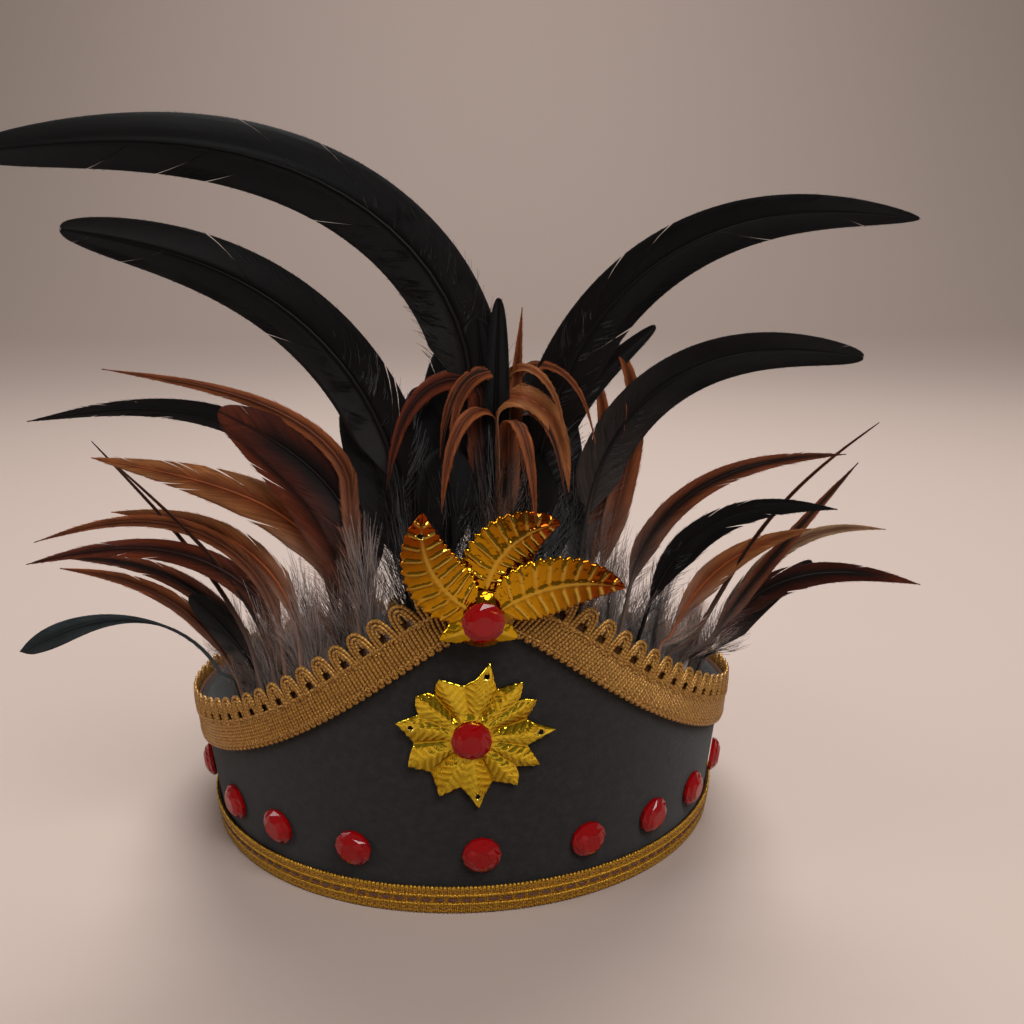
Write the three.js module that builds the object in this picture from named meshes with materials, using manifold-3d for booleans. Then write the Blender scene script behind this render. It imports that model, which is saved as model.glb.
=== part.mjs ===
// Feathered headdress: a felt crown band with a raised front, a narrow braid round its foot, a
// scalloped braid along its top edge, stamped foil ornaments, red glued stones and three plumes
// of feathers held inside the wall. Millimetres, +Z up. The wearer faces -Y, so azimuth 0 is the
// front and positive azimuths turn towards +X. The origin is the middle of the head opening.

import * as THREE from "three";
import { mergeVertices } from "three/addons/utils/BufferGeometryUtils.js";
import Module from "manifold-3d";

const wasm = await Module();
wasm.setup();

// Felt band
const HEAD_RADIUS = 89;
const FELT = 2;
const FLARE = 0.13; // outward run of the wall for each millimetre of height
const SIDE_HEIGHT = 41;
const PEAK_RISE = 67;
const PEAK_AZIMUTH = 6.5;
const PEAK_SPREAD = 58;
const PEAK_ROUNDING = 2.5;
const PEAK_POWER = 1.3;
const BAND_COLUMNS = 60;

// Clearances between glued or sewn pieces
const GAP = 0.3;

// Lower braid
const LOWER_BRAID = { height: 10, thickness: 1.6, groove: 0.5, grooveHalf: 1.1 };

// Upper braid: its foot lies below the felt's top edge and its scallops stand above it
const UPPER_BRAID = { drop: 12, width: 18, thickness: 2, scallop: 7.5, valley: 4, samples: 1440 };
const SCALLOP_POINTS = [
  { share: 0, depth: 1 },
  { share: 0.28, depth: 0.15 },
  { share: 0.72, depth: 0.15 },
];

// Red stones
const STONE = {
  radius: 6, girdle: 1.2, crown: 2.7, crownShare: 0.76, height: 3.4, tableShare: 0.48, sides: 10,
};
const STONE_HEIGHT = 21;
const STONE_AZIMUTHS = [
  -75, -52, -37, -19, 5.5, 26.5, 43, 58, 76, 96, 116, 136, 157, 178, 199, 220, 241, 263,
];

// Stamped foil plates
const FOIL = 0.6;
const SUNFLOWER = {
  azimuth: 3.8, height: 62, disc: 6.8, discRise: 1.4, discEdge: 0.6, valley: 17,
  shoulder: 19.2, shoulderTurn: 8, ridge: 1.6, tipLift: 1.2, wrap: 0.8, holeInset: 4.5,
};
// Clockwise from the top
const PETALS = [
  { turn: 13, length: 25, hole: true }, { turn: 41, length: 23, hole: false },
  { turn: 60, length: 22.5, hole: false }, { turn: 89, length: 25, hole: true },
  { turn: 118, length: 23, hole: false }, { turn: 141, length: 21.5, hole: false },
  { turn: 175, length: 24.5, hole: true }, { turn: 207, length: 21.5, hole: false },
  { turn: 243, length: 21, hole: false }, { turn: 281, length: 22.5, hole: true },
  { turn: 311, length: 21, hole: false }, { turn: 335, length: 21.5, hole: false },
];
const PUNCH = { radius: 0.8, length: 20, sides: 8 };
const LEAF_SEAT = { azimuth: 5.6, height: 101.5 };
const LEAF = { tooth: 0.12, rise: 0.45, fall: 0.85, ridge: 1.3, ribShare: 0.4, disc: 8.5, discSides: 16 };
const LEAF_STEPS = 40;
// A leaf's spine starts at x, y and bends steadily from its start to its end heading
const LEFT_LEAF = {
  x: -2, y: 2.5, start: -62, end: 12, length: 35, width: 17, curl: 1.5, teeth: 7, hole: 0.84,
};
const RIGHT_LEAF = {
  x: 4, y: 2.5, start: 54, end: 112, length: 38, width: 17, curl: -2.5, teeth: 7, hole: 0,
};
const LEFT_TAB = {
  x: 0, y: -1, start: -112, end: -112, length: 13, width: 8, curl: 0, teeth: 2, hole: 0,
};
const RIGHT_TAB = {
  x: 0, y: -1, start: 118, end: 118, length: 11, width: 8, curl: 0, teeth: 2, hole: 0,
};
const MIDDLE_LEAF = {
  x: 1, y: 7, start: 4, end: 92, length: 31, width: 18, curl: -3, teeth: 7, hole: 0,
};

// Plumes: a curved backing strip inside the wall, and the span of azimuth that it covers
const STRIP = { thickness: 1.8, height: 17, top: 5, step: 6 };
const PLUMES = {
  center_plume: { from: -9, to: 25, color: "#0f0d0c" },
  left_plume: { from: -52, to: -12, color: "#6e3a20" },
  right_plume: { from: 28, to: 64, color: "#7a4a2a" },
};
const SINK = 18; // depth of a quill's end below the felt's top edge
const BARE_QUILL = 22; // length of a quill without barbs
const SPAN = 20; // length of one step along a feather
const FINE_STEPS = 6; // parts of a step in which a feather's curve is followed
const LEAST_SPANS = 5;
// Below the braid's scallops a feather stays this far inside the wall, and then opens outwards
const RIM = { clear: 0.6, above: 13, opening: 3.2 };

// Outline of a vane: its half width follows share^rise * (1 - share)^fall
const VANES = {
  tail: { rise: 0.3, fall: 0.42, thickness: 1.6, camber: 0.16 },
  sickle: { rise: 0.3, fall: 0.62, thickness: 1.6, camber: 0.16 },
  hackle: { rise: 0.5, fall: 0.95, thickness: 1.1, camber: 0.16 },
  spoon: { rise: 5, fall: 0.8, thickness: 0.9, camber: 0.16 },
  quill: { rise: 0.05, fall: 0.4, thickness: 1, camber: 0.16 },
  down: { rise: 0.6, fall: 0.6, thickness: 5, camber: 0.3 },
};
const VANE_LIMITS = { half: 0.3, rib: 0.15, taper: 0.7, point: 0.004 };

// Each feather rises along its heading (90 is +X, -90 is -X, 0 is the front), leaning from the
// vertical by `lean` at its quill and by `tip` at its end; it stays straight for a first share of
// its length and `bend` delays the curve. `roll` turns the vane about its quill.
const TALL_LEFT = 245;
const SECOND_LEFT = 180;
const TALL_RIGHT = 197;
const SECOND_RIGHT = 152;
const COLUMNS = [
  "plume", "azimuth", "heading", "lean", "tip", "straight", "bend", "length", "width", "roll", "vane",
];
const FEATHERS = [
  ["center_plume", 6, -95, 2, 95, 0.31, 0.85, TALL_LEFT, 19.6, 8, "tail"],
  ["center_plume", -4, -93, 4, 80, 0.2, 1.35, SECOND_LEFT, 19, -6, "tail"],
  ["center_plume", 12.5, 94, 4, 96, 0.18, 1.55, TALL_RIGHT, 17, 6, "sickle"],
  ["center_plume", 19.5, 92, 9, 98, 0.33, 1.25, SECOND_RIGHT, 13, -8, "tail"],
  ["center_plume", 16, 100, 0, 52, 0.4, 1.15, 110, 8, 10, "tail"],
  ["center_plume", 6, -100, -4, -2, 0.3, 1, 98, 8, 0, "tail"],
  ["center_plume", 1, 180, -4, 24, 0.3, 1, 92, 20, 90, "tail"],
  ["center_plume", 14, 170, -4, 22, 0.3, 1, 88, 20, 90, "tail"],
  ["center_plume", -5, -110, 6, 24, 0.3, 1, 83, 18, 10, "tail"],
  ["center_plume", 20, 110, 6, 24, 0.3, 1, 81, 18, -10, "tail"],
  ["center_plume", 8, -90, 0, 6, 0.3, 1, 93, 18, 4, "tail"],
  ["center_plume", 10, 90, 1, 5, 0.3, 1, 97, 5, 0, "hackle"],
  ["center_plume", 9, -70, -3, 180, 0.66, 0.62, 115, 5, 30, "hackle"],
  ["center_plume", 9, 72, -2, 176, 0.61, 0.72, 110, 10, -40, "hackle"],
  ["center_plume", 8, -40, 0, 172, 0.62, 0.6, 105, 6, 70, "hackle"],
  ["center_plume", 10, 20, 2, 172, 0.62, 0.6, 103, 6, 80, "hackle"],
  ["center_plume", 6, -88, 0, 170, 0.6, 0.6, 120, 7, 20, "hackle"],
  ["center_plume", 22, 90, 13, -31, 0.6, 1.7, 110, 8, 20, "hackle"],
  ["center_plume", 21, 92, 10, -14, 0.5, 1.4, 100, 6, -10, "hackle"],
  ["left_plume", -15, -94, 2, 82, 0.47, 0.55, 151, 5, 10, "hackle"],
  ["left_plume", -17, -88, -5, 62, 0.38, 1.05, 111, 18, 0, "tail"],
  ["left_plume", -20, -84, -4, 50, 0.41, 0.8, 105, 15, 12, "hackle"],
  ["left_plume", -19, -98, -1, 100, 0.32, 0.85, 170, 9, -10, "hackle"],
  ["left_plume", -24, -86, -6, 78, 0.38, 0.56, 132, 14, 6, "hackle"],
  ["left_plume", -31, -96, 5, 108, 0.3, 1, 134, 5, 0, "hackle"],
  ["left_plume", -34, -88, -4, 103, 0.2, 1.05, 127, 8, 14, "hackle"],
  ["left_plume", -42, -96, 13, 84, 0.2, 1.3, 99, 7, -12, "hackle"],
  ["left_plume", -38, -104, 8, 92, 0.2, 1.1, 111, 7, 0, "hackle"],
  ["left_plume", -28, -104, 2, 90, 0.3, 1, 114, 9, -8, "hackle"],
  ["left_plume", -36, -92, 11, 41, 0.3, 0.62, 116, 1.6, 0, "quill"],
  ["left_plume", -33, -92, 8, 46, 0.3, 0.7, 108, 1.6, 0, "quill"],
  ["left_plume", -37, -98, 6, 46, 0.3, 0.8, 61, 11, 0, "tail"],
  ["left_plume", -43, -86, 19, 118, 0.28, 1.1, 104, 7, 15, "spoon"],
  ["right_plume", 29, 93, 11, 88, 0.32, 1.1, 120, 7, -10, "hackle"],
  ["right_plume", 32, 89, 15, 96, 0.3, 1.4, 105, 10, 8, "hackle"],
  ["right_plume", 36, 96, 23, 78, 0.33, 1.45, 87, 9, 0, "hackle"],
  ["right_plume", 39, 90, 28, 53, 0.45, 1.35, 120, 1.6, 0, "quill"],
  ["right_plume", 42, 98, 32, 43, 0.28, 0.95, 107, 6, 10, "hackle"],
  ["right_plume", 46, 92, 26, 104, 0.32, 1.05, 110, 9, -8, "hackle"],
  ["right_plume", 44, 104, 31, 98, 0.41, 1.45, 110, 6, 0, "hackle"],
  ["right_plume", 52, 102, 22, 58, 0.3, 1, 76, 9, 0, "tail"],
];

// Down: short fluffy locks at the foot of each plume, evenly spread over a span of azimuth. Every
// second lock is shorter and leans further; they fan out as their heading turns with the azimuth.
const DOWN = [
  { plume: "center_plume", from: -6, to: 23, count: 5, lean: 4, length: 50, width: 12 },
  { plume: "left_plume", from: -49, to: -14, count: 7, lean: 10, length: 50, width: 12 },
  { plume: "right_plume", from: 30, to: 62, count: 6, lean: 10, length: 48, width: 12 },
];
const DOWN_FAN = { turn: 1.6, back: 0.4, shorter: 0.18, straight: 0.3 };

const radians = THREE.MathUtils.degToRad;

function wallPoint(azimuth, height, offset) {
  const radius = HEAD_RADIUS + FELT + FLARE * height + offset;
  return new THREE.Vector3(radius * Math.sin(azimuth), -radius * Math.cos(azimuth), height);
}

// Height of the felt's top edge: a level rim with one rounded peak at the front
function edgeHeight(azimuth) {
  const turn = azimuth - radians(PEAK_AZIMUTH);
  const away = Math.abs(Math.atan2(Math.sin(turn), Math.cos(turn))) * HEAD_RADIUS;
  const reach = (Math.hypot(away, PEAK_ROUNDING) - PEAK_ROUNDING) / PEAK_SPREAD;
  return SIDE_HEIGHT + PEAK_RISE * Math.exp(-(reach ** PEAK_POWER));
}

// Triangles of a closed tube of rings with equal point counts; open tubes get flat end caps
function skinRings(rings, closed) {
  const count = rings[0].length;
  const points = rings.flat();
  const index = [];
  const spans = closed ? rings.length : rings.length - 1;
  for (let i = 0; i < spans; i++) {
    const a = i * count;
    const b = ((i + 1) % rings.length) * count;
    for (let j = 0; j < count; j++) {
      const k = (j + 1) % count;
      index.push(a + j, a + k, b + k, a + j, b + k, b + j);
    }
  }
  if (!closed) {
    const last = (rings.length - 1) * count;
    for (let j = 1; j < count - 1; j++) {
      index.push(0, j + 1, j, last, last + j, last + j + 1);
    }
  }
  return buildGeometry(points, index);
}

function buildGeometry(points, index) {
  const geometry = new THREE.BufferGeometry().setFromPoints(points);
  geometry.setIndex(index);
  return geometry;
}

function toSolid(geometry) {
  const merged = mergeVertices(geometry.clone().deleteAttribute("normal").deleteAttribute("uv"), 1e-5);
  return new wasm.Manifold(new wasm.Mesh({
    numProp: 3,
    vertProperties: new Float32Array(merged.attributes.position.array),
    triVerts: new Uint32Array(merged.index.array),
  }));
}

function toGeometry(solid) {
  const mesh = solid.getMesh();
  const geometry = new THREE.BufferGeometry();
  geometry.setAttribute("position", new THREE.BufferAttribute(mesh.vertProperties, 3));
  geometry.setIndex(new THREE.BufferAttribute(mesh.triVerts, 1));
  return geometry;
}

// Joins closed shapes into one solid, and fills any pocket that they seal between them
function joined(geometries) {
  const whole = geometries.map(toSolid).reduce((sum, piece) => sum.add(piece));
  const shells = whole.decompose().filter((shell) => shell.volume() > 0);
  return toGeometry(shells.reduce((sum, shell) => sum.add(shell)));
}

function makeMesh(name, geometry, color, roughness, metalness) {
  geometry.computeVertexNormals();
  const mesh = new THREE.Mesh(geometry, new THREE.MeshStandardMaterial({ color, roughness, metalness }));
  mesh.name = name;
  return mesh;
}

function makeBand() {
  const rings = [];
  for (let i = 0; i < BAND_COLUMNS; i++) {
    const azimuth = (i / BAND_COLUMNS) * 2 * Math.PI;
    const top = edgeHeight(azimuth);
    rings.push([
      wallPoint(azimuth, 0, -FELT), wallPoint(azimuth, top, -FELT),
      wallPoint(azimuth, top, 0), wallPoint(azimuth, 0, 0),
    ]);
  }
  return makeMesh("band", skinRings(rings, true), "#2a2725", 0.95, 0);
}

function makeLowerBraid() {
  const { height, thickness, groove, grooveHalf } = LOWER_BRAID;
  const profile = [
    [GAP, 0], [GAP, height], [GAP + thickness, height],
    [GAP + thickness, height / 2 + grooveHalf], [GAP + thickness - groove, height / 2],
    [GAP + thickness, height / 2 - grooveHalf], [GAP + thickness, 0],
  ];
  const rings = [];
  for (let i = 0; i < BAND_COLUMNS; i++) {
    const azimuth = (i / BAND_COLUMNS) * 2 * Math.PI;
    rings.push(profile.map(([offset, rise]) => wallPoint(azimuth, rise, offset)));
  }
  return makeMesh("lower_braid", skinRings(rings, true), "#b5831a", 0.5, 0.5);
}

// The braid's foot follows the felt's edge; every point is found on the unrolled wall, where x is
// the distance round the wall at the braid's mean radius and y is the height
function makeUpperBraid() {
  const { drop, width, thickness, scallop, valley, samples } = UPPER_BRAID;
  const around = HEAD_RADIUS + FELT + FLARE * SIDE_HEIGHT;
  const footAt = (x) => new THREE.Vector2(x, edgeHeight(x / around) - drop);
  const lengths = [0];
  const whole = 2 * Math.PI * around;
  for (let i = 1; i <= samples; i++) {
    const step = footAt((i / samples) * whole).distanceTo(footAt(((i - 1) / samples) * whole));
    lengths.push(lengths[i - 1] + step);
  }
  const total = lengths[samples];
  const alongAt = (distance) => {
    const i = Math.max(1, lengths.findIndex((length) => length >= distance));
    const share = (distance - lengths[i - 1]) / (lengths[i] - lengths[i - 1]);
    return ((i - 1 + share) / samples) * whole;
  };
  const place = (distance, rise, offset) => {
    const x = alongAt(Math.min(distance, total));
    const foot = footAt(x);
    const ahead = footAt(x + 1).sub(footAt(x - 1)).normalize();
    return wallPoint((foot.x - ahead.y * rise) / around, foot.y + ahead.x * rise, offset);
  };
  const count = Math.round(total / scallop);
  const columns = 1 + SCALLOP_POINTS.length;
  const points = [];
  for (const offset of [GAP + thickness, GAP]) {
    for (let i = 0; i < count; i++) {
      const start = (i / count) * total;
      points.push(place(start, 0, offset));
      for (const { share, depth } of SCALLOP_POINTS) {
        points.push(place(start + (share * total) / count, width - depth * valley, offset));
      }
    }
  }
  const index = [];
  const back = count * columns;
  const middle = Math.ceil(SCALLOP_POINTS.length / 2);
  for (let i = 0; i < count; i++) {
    const foot = i * columns;
    const nextFoot = ((i + 1) % count) * columns;
    const outer = SCALLOP_POINTS.map((_, j) => foot + 1 + j).concat(nextFoot + 1);
    const faces = [[foot, nextFoot, outer[middle]]];
    for (let j = 0; j < SCALLOP_POINTS.length; j++) {
      faces.push([j < middle ? foot : nextFoot, outer[j + 1], outer[j]]);
      index.push(outer[j], outer[j + 1], back + outer[j + 1]);
      index.push(outer[j], back + outer[j + 1], back + outer[j]);
    }
    for (const [a, b, c] of faces) {
      index.push(a, b, c, back + a, back + c, back + b);
    }
    index.push(nextFoot, foot, back + foot, nextFoot, back + foot, back + nextFoot);
  }
  return makeMesh("upper_braid", buildGeometry(points, index), "#a3752c", 0.55, 0.45);
}

// A flat-backed stone: straight girdle, two rows of facets and a table
function stoneGeometry() {
  const { radius, girdle, crown, crownShare, height, tableShare, sides } = STONE;
  const rows = [
    { reach: 1, rise: 0, turn: 0 }, { reach: 1, rise: girdle, turn: 0 },
    { reach: crownShare, rise: crown, turn: 0.5 }, { reach: tableShare, rise: height, turn: 0 },
  ];
  const rings = rows.map(({ reach, rise, turn }) => Array.from({ length: sides }, (_, i) => {
    const angle = ((i + turn) / sides) * 2 * Math.PI;
    return new THREE.Vector3(radius * reach * Math.cos(angle), radius * reach * Math.sin(angle), rise);
  }));
  return skinRings(rings, false);
}

// Turns a mesh so that its x runs round the wall, its y up the wall and its z out of it
function seatOnWall(mesh, azimuthDegrees, height, offset) {
  const azimuth = radians(azimuthDegrees);
  const across = new THREE.Vector3(Math.cos(azimuth), Math.sin(azimuth), 0);
  const up = new THREE.Vector3(FLARE * Math.sin(azimuth), -FLARE * Math.cos(azimuth), 1).normalize();
  const out = new THREE.Vector3().crossVectors(across, up);
  mesh.quaternion.setFromRotationMatrix(new THREE.Matrix4().makeBasis(across, up, out));
  mesh.position.copy(wallPoint(azimuth, height, 0)).addScaledVector(out, offset);
  return mesh;
}

function makeStone(name, azimuth, height, offset) {
  const mesh = makeMesh(name, stoneGeometry(), "#b00a10", 0.08, 0);
  return seatOnWall(mesh, azimuth, height, offset);
}

function pierce(geometry, holes) {
  let solid = toSolid(geometry);
  for (const { x, y } of holes) {
    const punch = new THREE.CylinderGeometry(PUNCH.radius, PUNCH.radius, PUNCH.length, PUNCH.sides);
    solid = solid.subtract(toSolid(punch.rotateX(Math.PI / 2).translate(x, y, 0)));
  }
  return toGeometry(solid);
}

// The sunflower: a raised disc and twelve ridged petals, bent to follow the band
function makeSunflower() {
  const { disc, discRise, discEdge, valley, shoulder, shoulderTurn } = SUNFLOWER;
  const { ridge, tipLift, wrap, holeInset } = SUNFLOWER;
  const bend = wrap / (2 * (HEAD_RADIUS + FELT));
  const points = [];
  const index = [];
  const polar = (turn, far, rise) => {
    const x = far * Math.sin(radians(turn));
    points.push(new THREE.Vector3(x, far * Math.cos(radians(turn)), FOIL + rise - bend * x * x));
    return points.length - 1;
  };
  const petals = PETALS.map(({ turn, length }, i) => {
    const next = PETALS[(i + 1) % PETALS.length].turn + (i + 1 === PETALS.length ? 360 : 0);
    return {
      inner: polar(turn, disc, discRise),
      between: polar((turn + next) / 2, disc, discRise * discEdge),
      valley: polar((turn + next) / 2, valley, 0),
      ridge: polar(turn, (disc + length) / 2, ridge),
      before: polar(turn - shoulderTurn, shoulder, 0),
      after: polar(turn + shoulderTurn, shoulder, 0),
      tip: polar(turn, length, tipLift),
    };
  });
  const center = polar(0, 0, discRise);
  const faces = [];
  const rim = [];
  petals.forEach((petal, i) => {
    const last = petals[(i + petals.length - 1) % petals.length];
    faces.push(
      [center, petal.inner, last.between], [center, petal.between, petal.inner],
      [last.between, petal.inner, petal.ridge], [last.between, petal.ridge, last.valley],
      [last.valley, petal.ridge, petal.before], [petal.before, petal.ridge, petal.tip],
      [petal.tip, petal.ridge, petal.after], [petal.after, petal.ridge, petal.valley],
      [petal.valley, petal.ridge, petal.between], [petal.between, petal.ridge, petal.inner],
    );
    rim.push(last.valley, petal.before, petal.tip, petal.after);
  });
  closePlate(points, index, faces, rim);
  const holes = PETALS.filter(({ hole }) => hole).map(({ turn, length }) => ({
    x: (length - holeInset) * Math.sin(radians(turn)),
    y: (length - holeInset) * Math.cos(radians(turn)),
  }));
  const plate = pierce(buildGeometry(points, index), holes);
  const mesh = makeMesh("sunflower_plate", plate, "#d4b01e", 0.2, 1);
  return seatOnWall(mesh, SUNFLOWER.azimuth, SUNFLOWER.height, GAP);
}

// Gives a sheet its underside, one foil thickness below, and its rim, which runs clockwise
function closePlate(points, index, faces, rim) {
  const top = points.length;
  for (let i = 0; i < top; i++) {
    points.push(points[i].clone().setZ(points[i].z - FOIL));
  }
  for (const [a, b, c] of faces) {
    index.push(a, b, c, top + a, top + c, top + b);
  }
  for (let i = 0; i < rim.length; i++) {
    const a = rim[i];
    const b = rim[(i + 1) % rim.length];
    index.push(a, b, top + b, a, top + b, top + a);
  }
}

// One serrated leaf with a raised midrib that bends steadily from its start to its end heading
function leafGeometry({ x, y, start, end, length, width, curl, teeth }) {
  const stations = teeth * 2;
  const peak = LEAF.rise / (LEAF.rise + LEAF.fall);
  const fullness = peak ** LEAF.rise * (1 - peak) ** LEAF.fall;
  const points = [];
  const rows = [];
  const spine = new THREE.Vector2(x, y);
  for (let i = 0; i <= stations; i++) {
    const share = (i + 0.02) / (stations + 0.02);
    const heading = radians(start + (end - start) * share);
    const ahead = new THREE.Vector2(Math.sin(heading), Math.cos(heading));
    const half = (width / 2) * (share ** LEAF.rise * (1 - share) ** LEAF.fall) / fullness;
    const side = half * (1 + (i % 2 ? LEAF.tooth : -LEAF.tooth));
    const lift = FOIL + curl * share * share;
    const rib = Math.min(LEAF.ridge, half * LEAF.ribShare);
    rows.push(i === stations ? [points.length] : [points.length, points.length + 1, points.length + 2]);
    points.push(new THREE.Vector3(spine.x, spine.y, lift + rib));
    if (i < stations) {
      points.push(
        new THREE.Vector3(spine.x - ahead.y * side, spine.y + ahead.x * side, lift),
        new THREE.Vector3(spine.x + ahead.y * side, spine.y - ahead.x * side, lift),
      );
    }
    spine.addScaledVector(ahead, length / stations);
  }
  const faces = [];
  for (let i = 0; i < stations - 1; i++) {
    const [rib, left, right] = rows[i];
    const [nextRib, nextLeft, nextRight] = rows[i + 1];
    faces.push([rib, nextLeft, left], [rib, nextRib, nextLeft]);
    faces.push([rib, right, nextRight], [rib, nextRight, nextRib]);
  }
  const [rib, left, right] = rows[stations - 1];
  const [tip] = rows[stations];
  faces.push([rib, tip, left], [rib, right, tip]);
  const rim = [rows[0][0]];
  for (let i = 0; i < stations; i++) {
    rim.push(rows[i][1]);
  }
  rim.push(tip);
  for (let i = stations - 1; i >= 0; i--) {
    rim.push(rows[i][2]);
  }
  const index = [];
  closePlate(points, index, faces, rim);
  return buildGeometry(points, index);
}

function leafHole({ x, y, start, end, length, hole }) {
  const spine = new THREE.Vector2(x, y);
  for (let i = 0; i < LEAF_STEPS * hole; i++) {
    const heading = radians(start + ((end - start) * i) / LEAF_STEPS);
    const ahead = new THREE.Vector2(Math.sin(heading), Math.cos(heading));
    spine.addScaledVector(ahead, length / LEAF_STEPS);
  }
  return { x: spine.x, y: spine.y };
}

function makeLeaves(name, leaves, offset) {
  const disc = new THREE.CylinderGeometry(LEAF.disc, LEAF.disc, FOIL, LEAF.discSides);
  const sheets = [disc.rotateX(Math.PI / 2).translate(0, 0, FOIL / 2), ...leaves.map(leafGeometry)];
  const plate = pierce(joined(sheets), leaves.filter(({ hole }) => hole > 0).map(leafHole));
  const mesh = makeMesh(name, plate, "#b87a12", 0.25, 1);
  return seatOnWall(mesh, LEAF_SEAT.azimuth, LEAF_SEAT.height, offset);
}

// The curved strip on the inner wall that holds a plume's quills
function stripGeometry({ from, to }) {
  const steps = Math.ceil((to - from) / STRIP.step);
  const outer = -FELT - GAP;
  const rings = [];
  for (let i = 0; i <= steps; i++) {
    const azimuth = radians(from + ((to - from) * i) / steps);
    const top = edgeHeight(azimuth) - STRIP.top;
    rings.push([
      wallPoint(azimuth, top - STRIP.height, outer - STRIP.thickness),
      wallPoint(azimuth, top, outer - STRIP.thickness),
      wallPoint(azimuth, top, outer), wallPoint(azimuth, top - STRIP.height, outer),
    ]);
  }
  return skinRings(rings, false);
}

// Moves a section towards the middle of the head opening until the wall and its braid are clear
function keptInside(ring) {
  const excess = ring.map((point) => {
    const azimuth = Math.atan2(point.x, -point.y);
    const over = Math.max(0, point.z - edgeHeight(azimuth) - RIM.above);
    const limit = HEAD_RADIUS + FLARE * point.z - GAP - RIM.clear + over * RIM.opening;
    return Math.hypot(point.x, point.y) - limit;
  });
  const push = Math.max(0, ...excess);
  const inward = new THREE.Vector3(-ring[1].x, -ring[1].y, 0).normalize();
  return ring.map((point) => point.addScaledVector(inward, push));
}

// A feather's blade: its sections have a ridge along the quill and two edges set back from it
function bladeGeometry({ azimuth, heading, lean, tip, straight, bend, length, width, roll, vane }) {
  const { rise, fall, thickness, camber } = VANES[vane];
  const peak = rise / (rise + fall);
  const fullness = peak ** rise * (1 - peak) ** fall;
  const foot = edgeHeight(radians(azimuth)) - SINK;
  const bare = BARE_QUILL / length;
  const spine = wallPoint(radians(azimuth), foot, -(FELT + GAP + STRIP.thickness / 2));
  const away = new THREE.Vector3(Math.sin(radians(heading)), -Math.cos(radians(heading)), 0);
  const out = new THREE.Vector3(0, 0, 1).cross(away);
  const spans = Math.max(LEAST_SPANS, Math.round(length / SPAN));
  const steps = spans * FINE_STEPS;
  const angleAt = (share) => {
    const curve = Math.max(0, (share - straight) / (1 - straight)) ** bend;
    return radians(lean + (tip - lean) * Math.sin((Math.PI / 2) * curve));
  };
  const aheadAt = (angle) => away.clone().multiplyScalar(Math.sin(angle)).setZ(Math.cos(angle));
  const rings = [];
  for (let i = 0; i <= steps; i++) {
    const share = i / steps;
    if (i % FINE_STEPS === 0) {
      const angle = angleAt(share);
      const side = away.clone().multiplyScalar(Math.cos(angle)).setZ(-Math.sin(angle));
      side.multiplyScalar(Math.cos(radians(roll))).addScaledVector(out, Math.sin(radians(roll)));
      const face = new THREE.Vector3().crossVectors(aheadAt(angle), side);
      const grown = Math.max(0, (share - bare) / (1 - bare));
      const shape = (grown ** rise * Math.max(1 - grown, VANE_LIMITS.point) ** fall) / fullness;
      const half = Math.max((width / 2) * shape, VANE_LIMITS.half);
      const rib = Math.max((thickness / 2) * (1 - VANE_LIMITS.taper * share), VANE_LIMITS.rib);
      const back = -camber * half;
      rings.push(keptInside([
        spine.clone().addScaledVector(side, half).addScaledVector(face, back),
        spine.clone().addScaledVector(face, rib),
        spine.clone().addScaledVector(side, -half).addScaledVector(face, back),
      ]));
    }
    spine.addScaledVector(aheadAt(angleAt(share + 0.5 / steps)), length / steps);
  }
  return skinRings(rings, false);
}

function featherRow(values) {
  return Object.fromEntries(COLUMNS.map((column, i) => [column, values[i]]));
}

function downRows({ plume, from, to, count, lean, length, width }) {
  return Array.from({ length: count }, (_, i) => {
    const azimuth = from + ((to - from) * i) / (count - 1);
    const odd = i % 2;
    return {
      plume, azimuth, width, vane: "down", roll: 90, bend: 1, straight: DOWN_FAN.straight,
      heading: azimuth * DOWN_FAN.turn, lean: -lean * (DOWN_FAN.back + odd), tip: lean * (1 + odd),
      length: length * (1 - DOWN_FAN.shorter * odd),
    };
  });
}

function makePlume(name) {
  const rows = [...FEATHERS.map(featherRow), ...DOWN.flatMap(downRows)];
  const blades = rows.filter(({ plume }) => plume === name).map(bladeGeometry);
  const solid = joined([stripGeometry(PLUMES[name]), ...blades]);
  return makeMesh(name, solid, PLUMES[name].color, 0.7, 0);
}

const headdress = new THREE.Group();
headdress.add(makeBand(), makeLowerBraid(), makeUpperBraid());

STONE_AZIMUTHS.forEach((azimuth, i) => {
  const name = `band_stone_${String(i + 1).padStart(2, "0")}`;
  headdress.add(makeStone(name, azimuth, STONE_HEIGHT, GAP));
});

headdress.add(makeSunflower());
const flowerTop = GAP + FOIL + SUNFLOWER.discRise + GAP;
headdress.add(makeStone("sunflower_stone", SUNFLOWER.azimuth, SUNFLOWER.height, flowerTop));

const singleSeat = GAP + UPPER_BRAID.thickness + GAP;
const pairSeat = singleSeat + FOIL + LEAF.ridge + GAP;
headdress.add(makeLeaves("leaf_single", [MIDDLE_LEAF], singleSeat));
headdress.add(makeLeaves("leaf_pair", [LEFT_LEAF, RIGHT_LEAF, LEFT_TAB, RIGHT_TAB], pairSeat));
const leafTop = pairSeat + FOIL + LEAF.ridge + GAP;
headdress.add(makeStone("leaf_stone", LEAF_SEAT.azimuth, LEAF_SEAT.height, leafTop));

for (const name of Object.keys(PLUMES)) {
  headdress.add(makePlume(name));
}

export default headdress;
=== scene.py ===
"""Feathered headdress: a charcoal felt crown band with gold braids, stamped gold foil ornaments, red
acrylic stones and plumes of black and rust feathers.

Every size is in millimetres and turned into metres when a mesh is made. The wearer faces -Y, so
azimuth 0 is the front and positive azimuths turn towards +X. +Z is up and the floor is at 0.
"""

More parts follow.
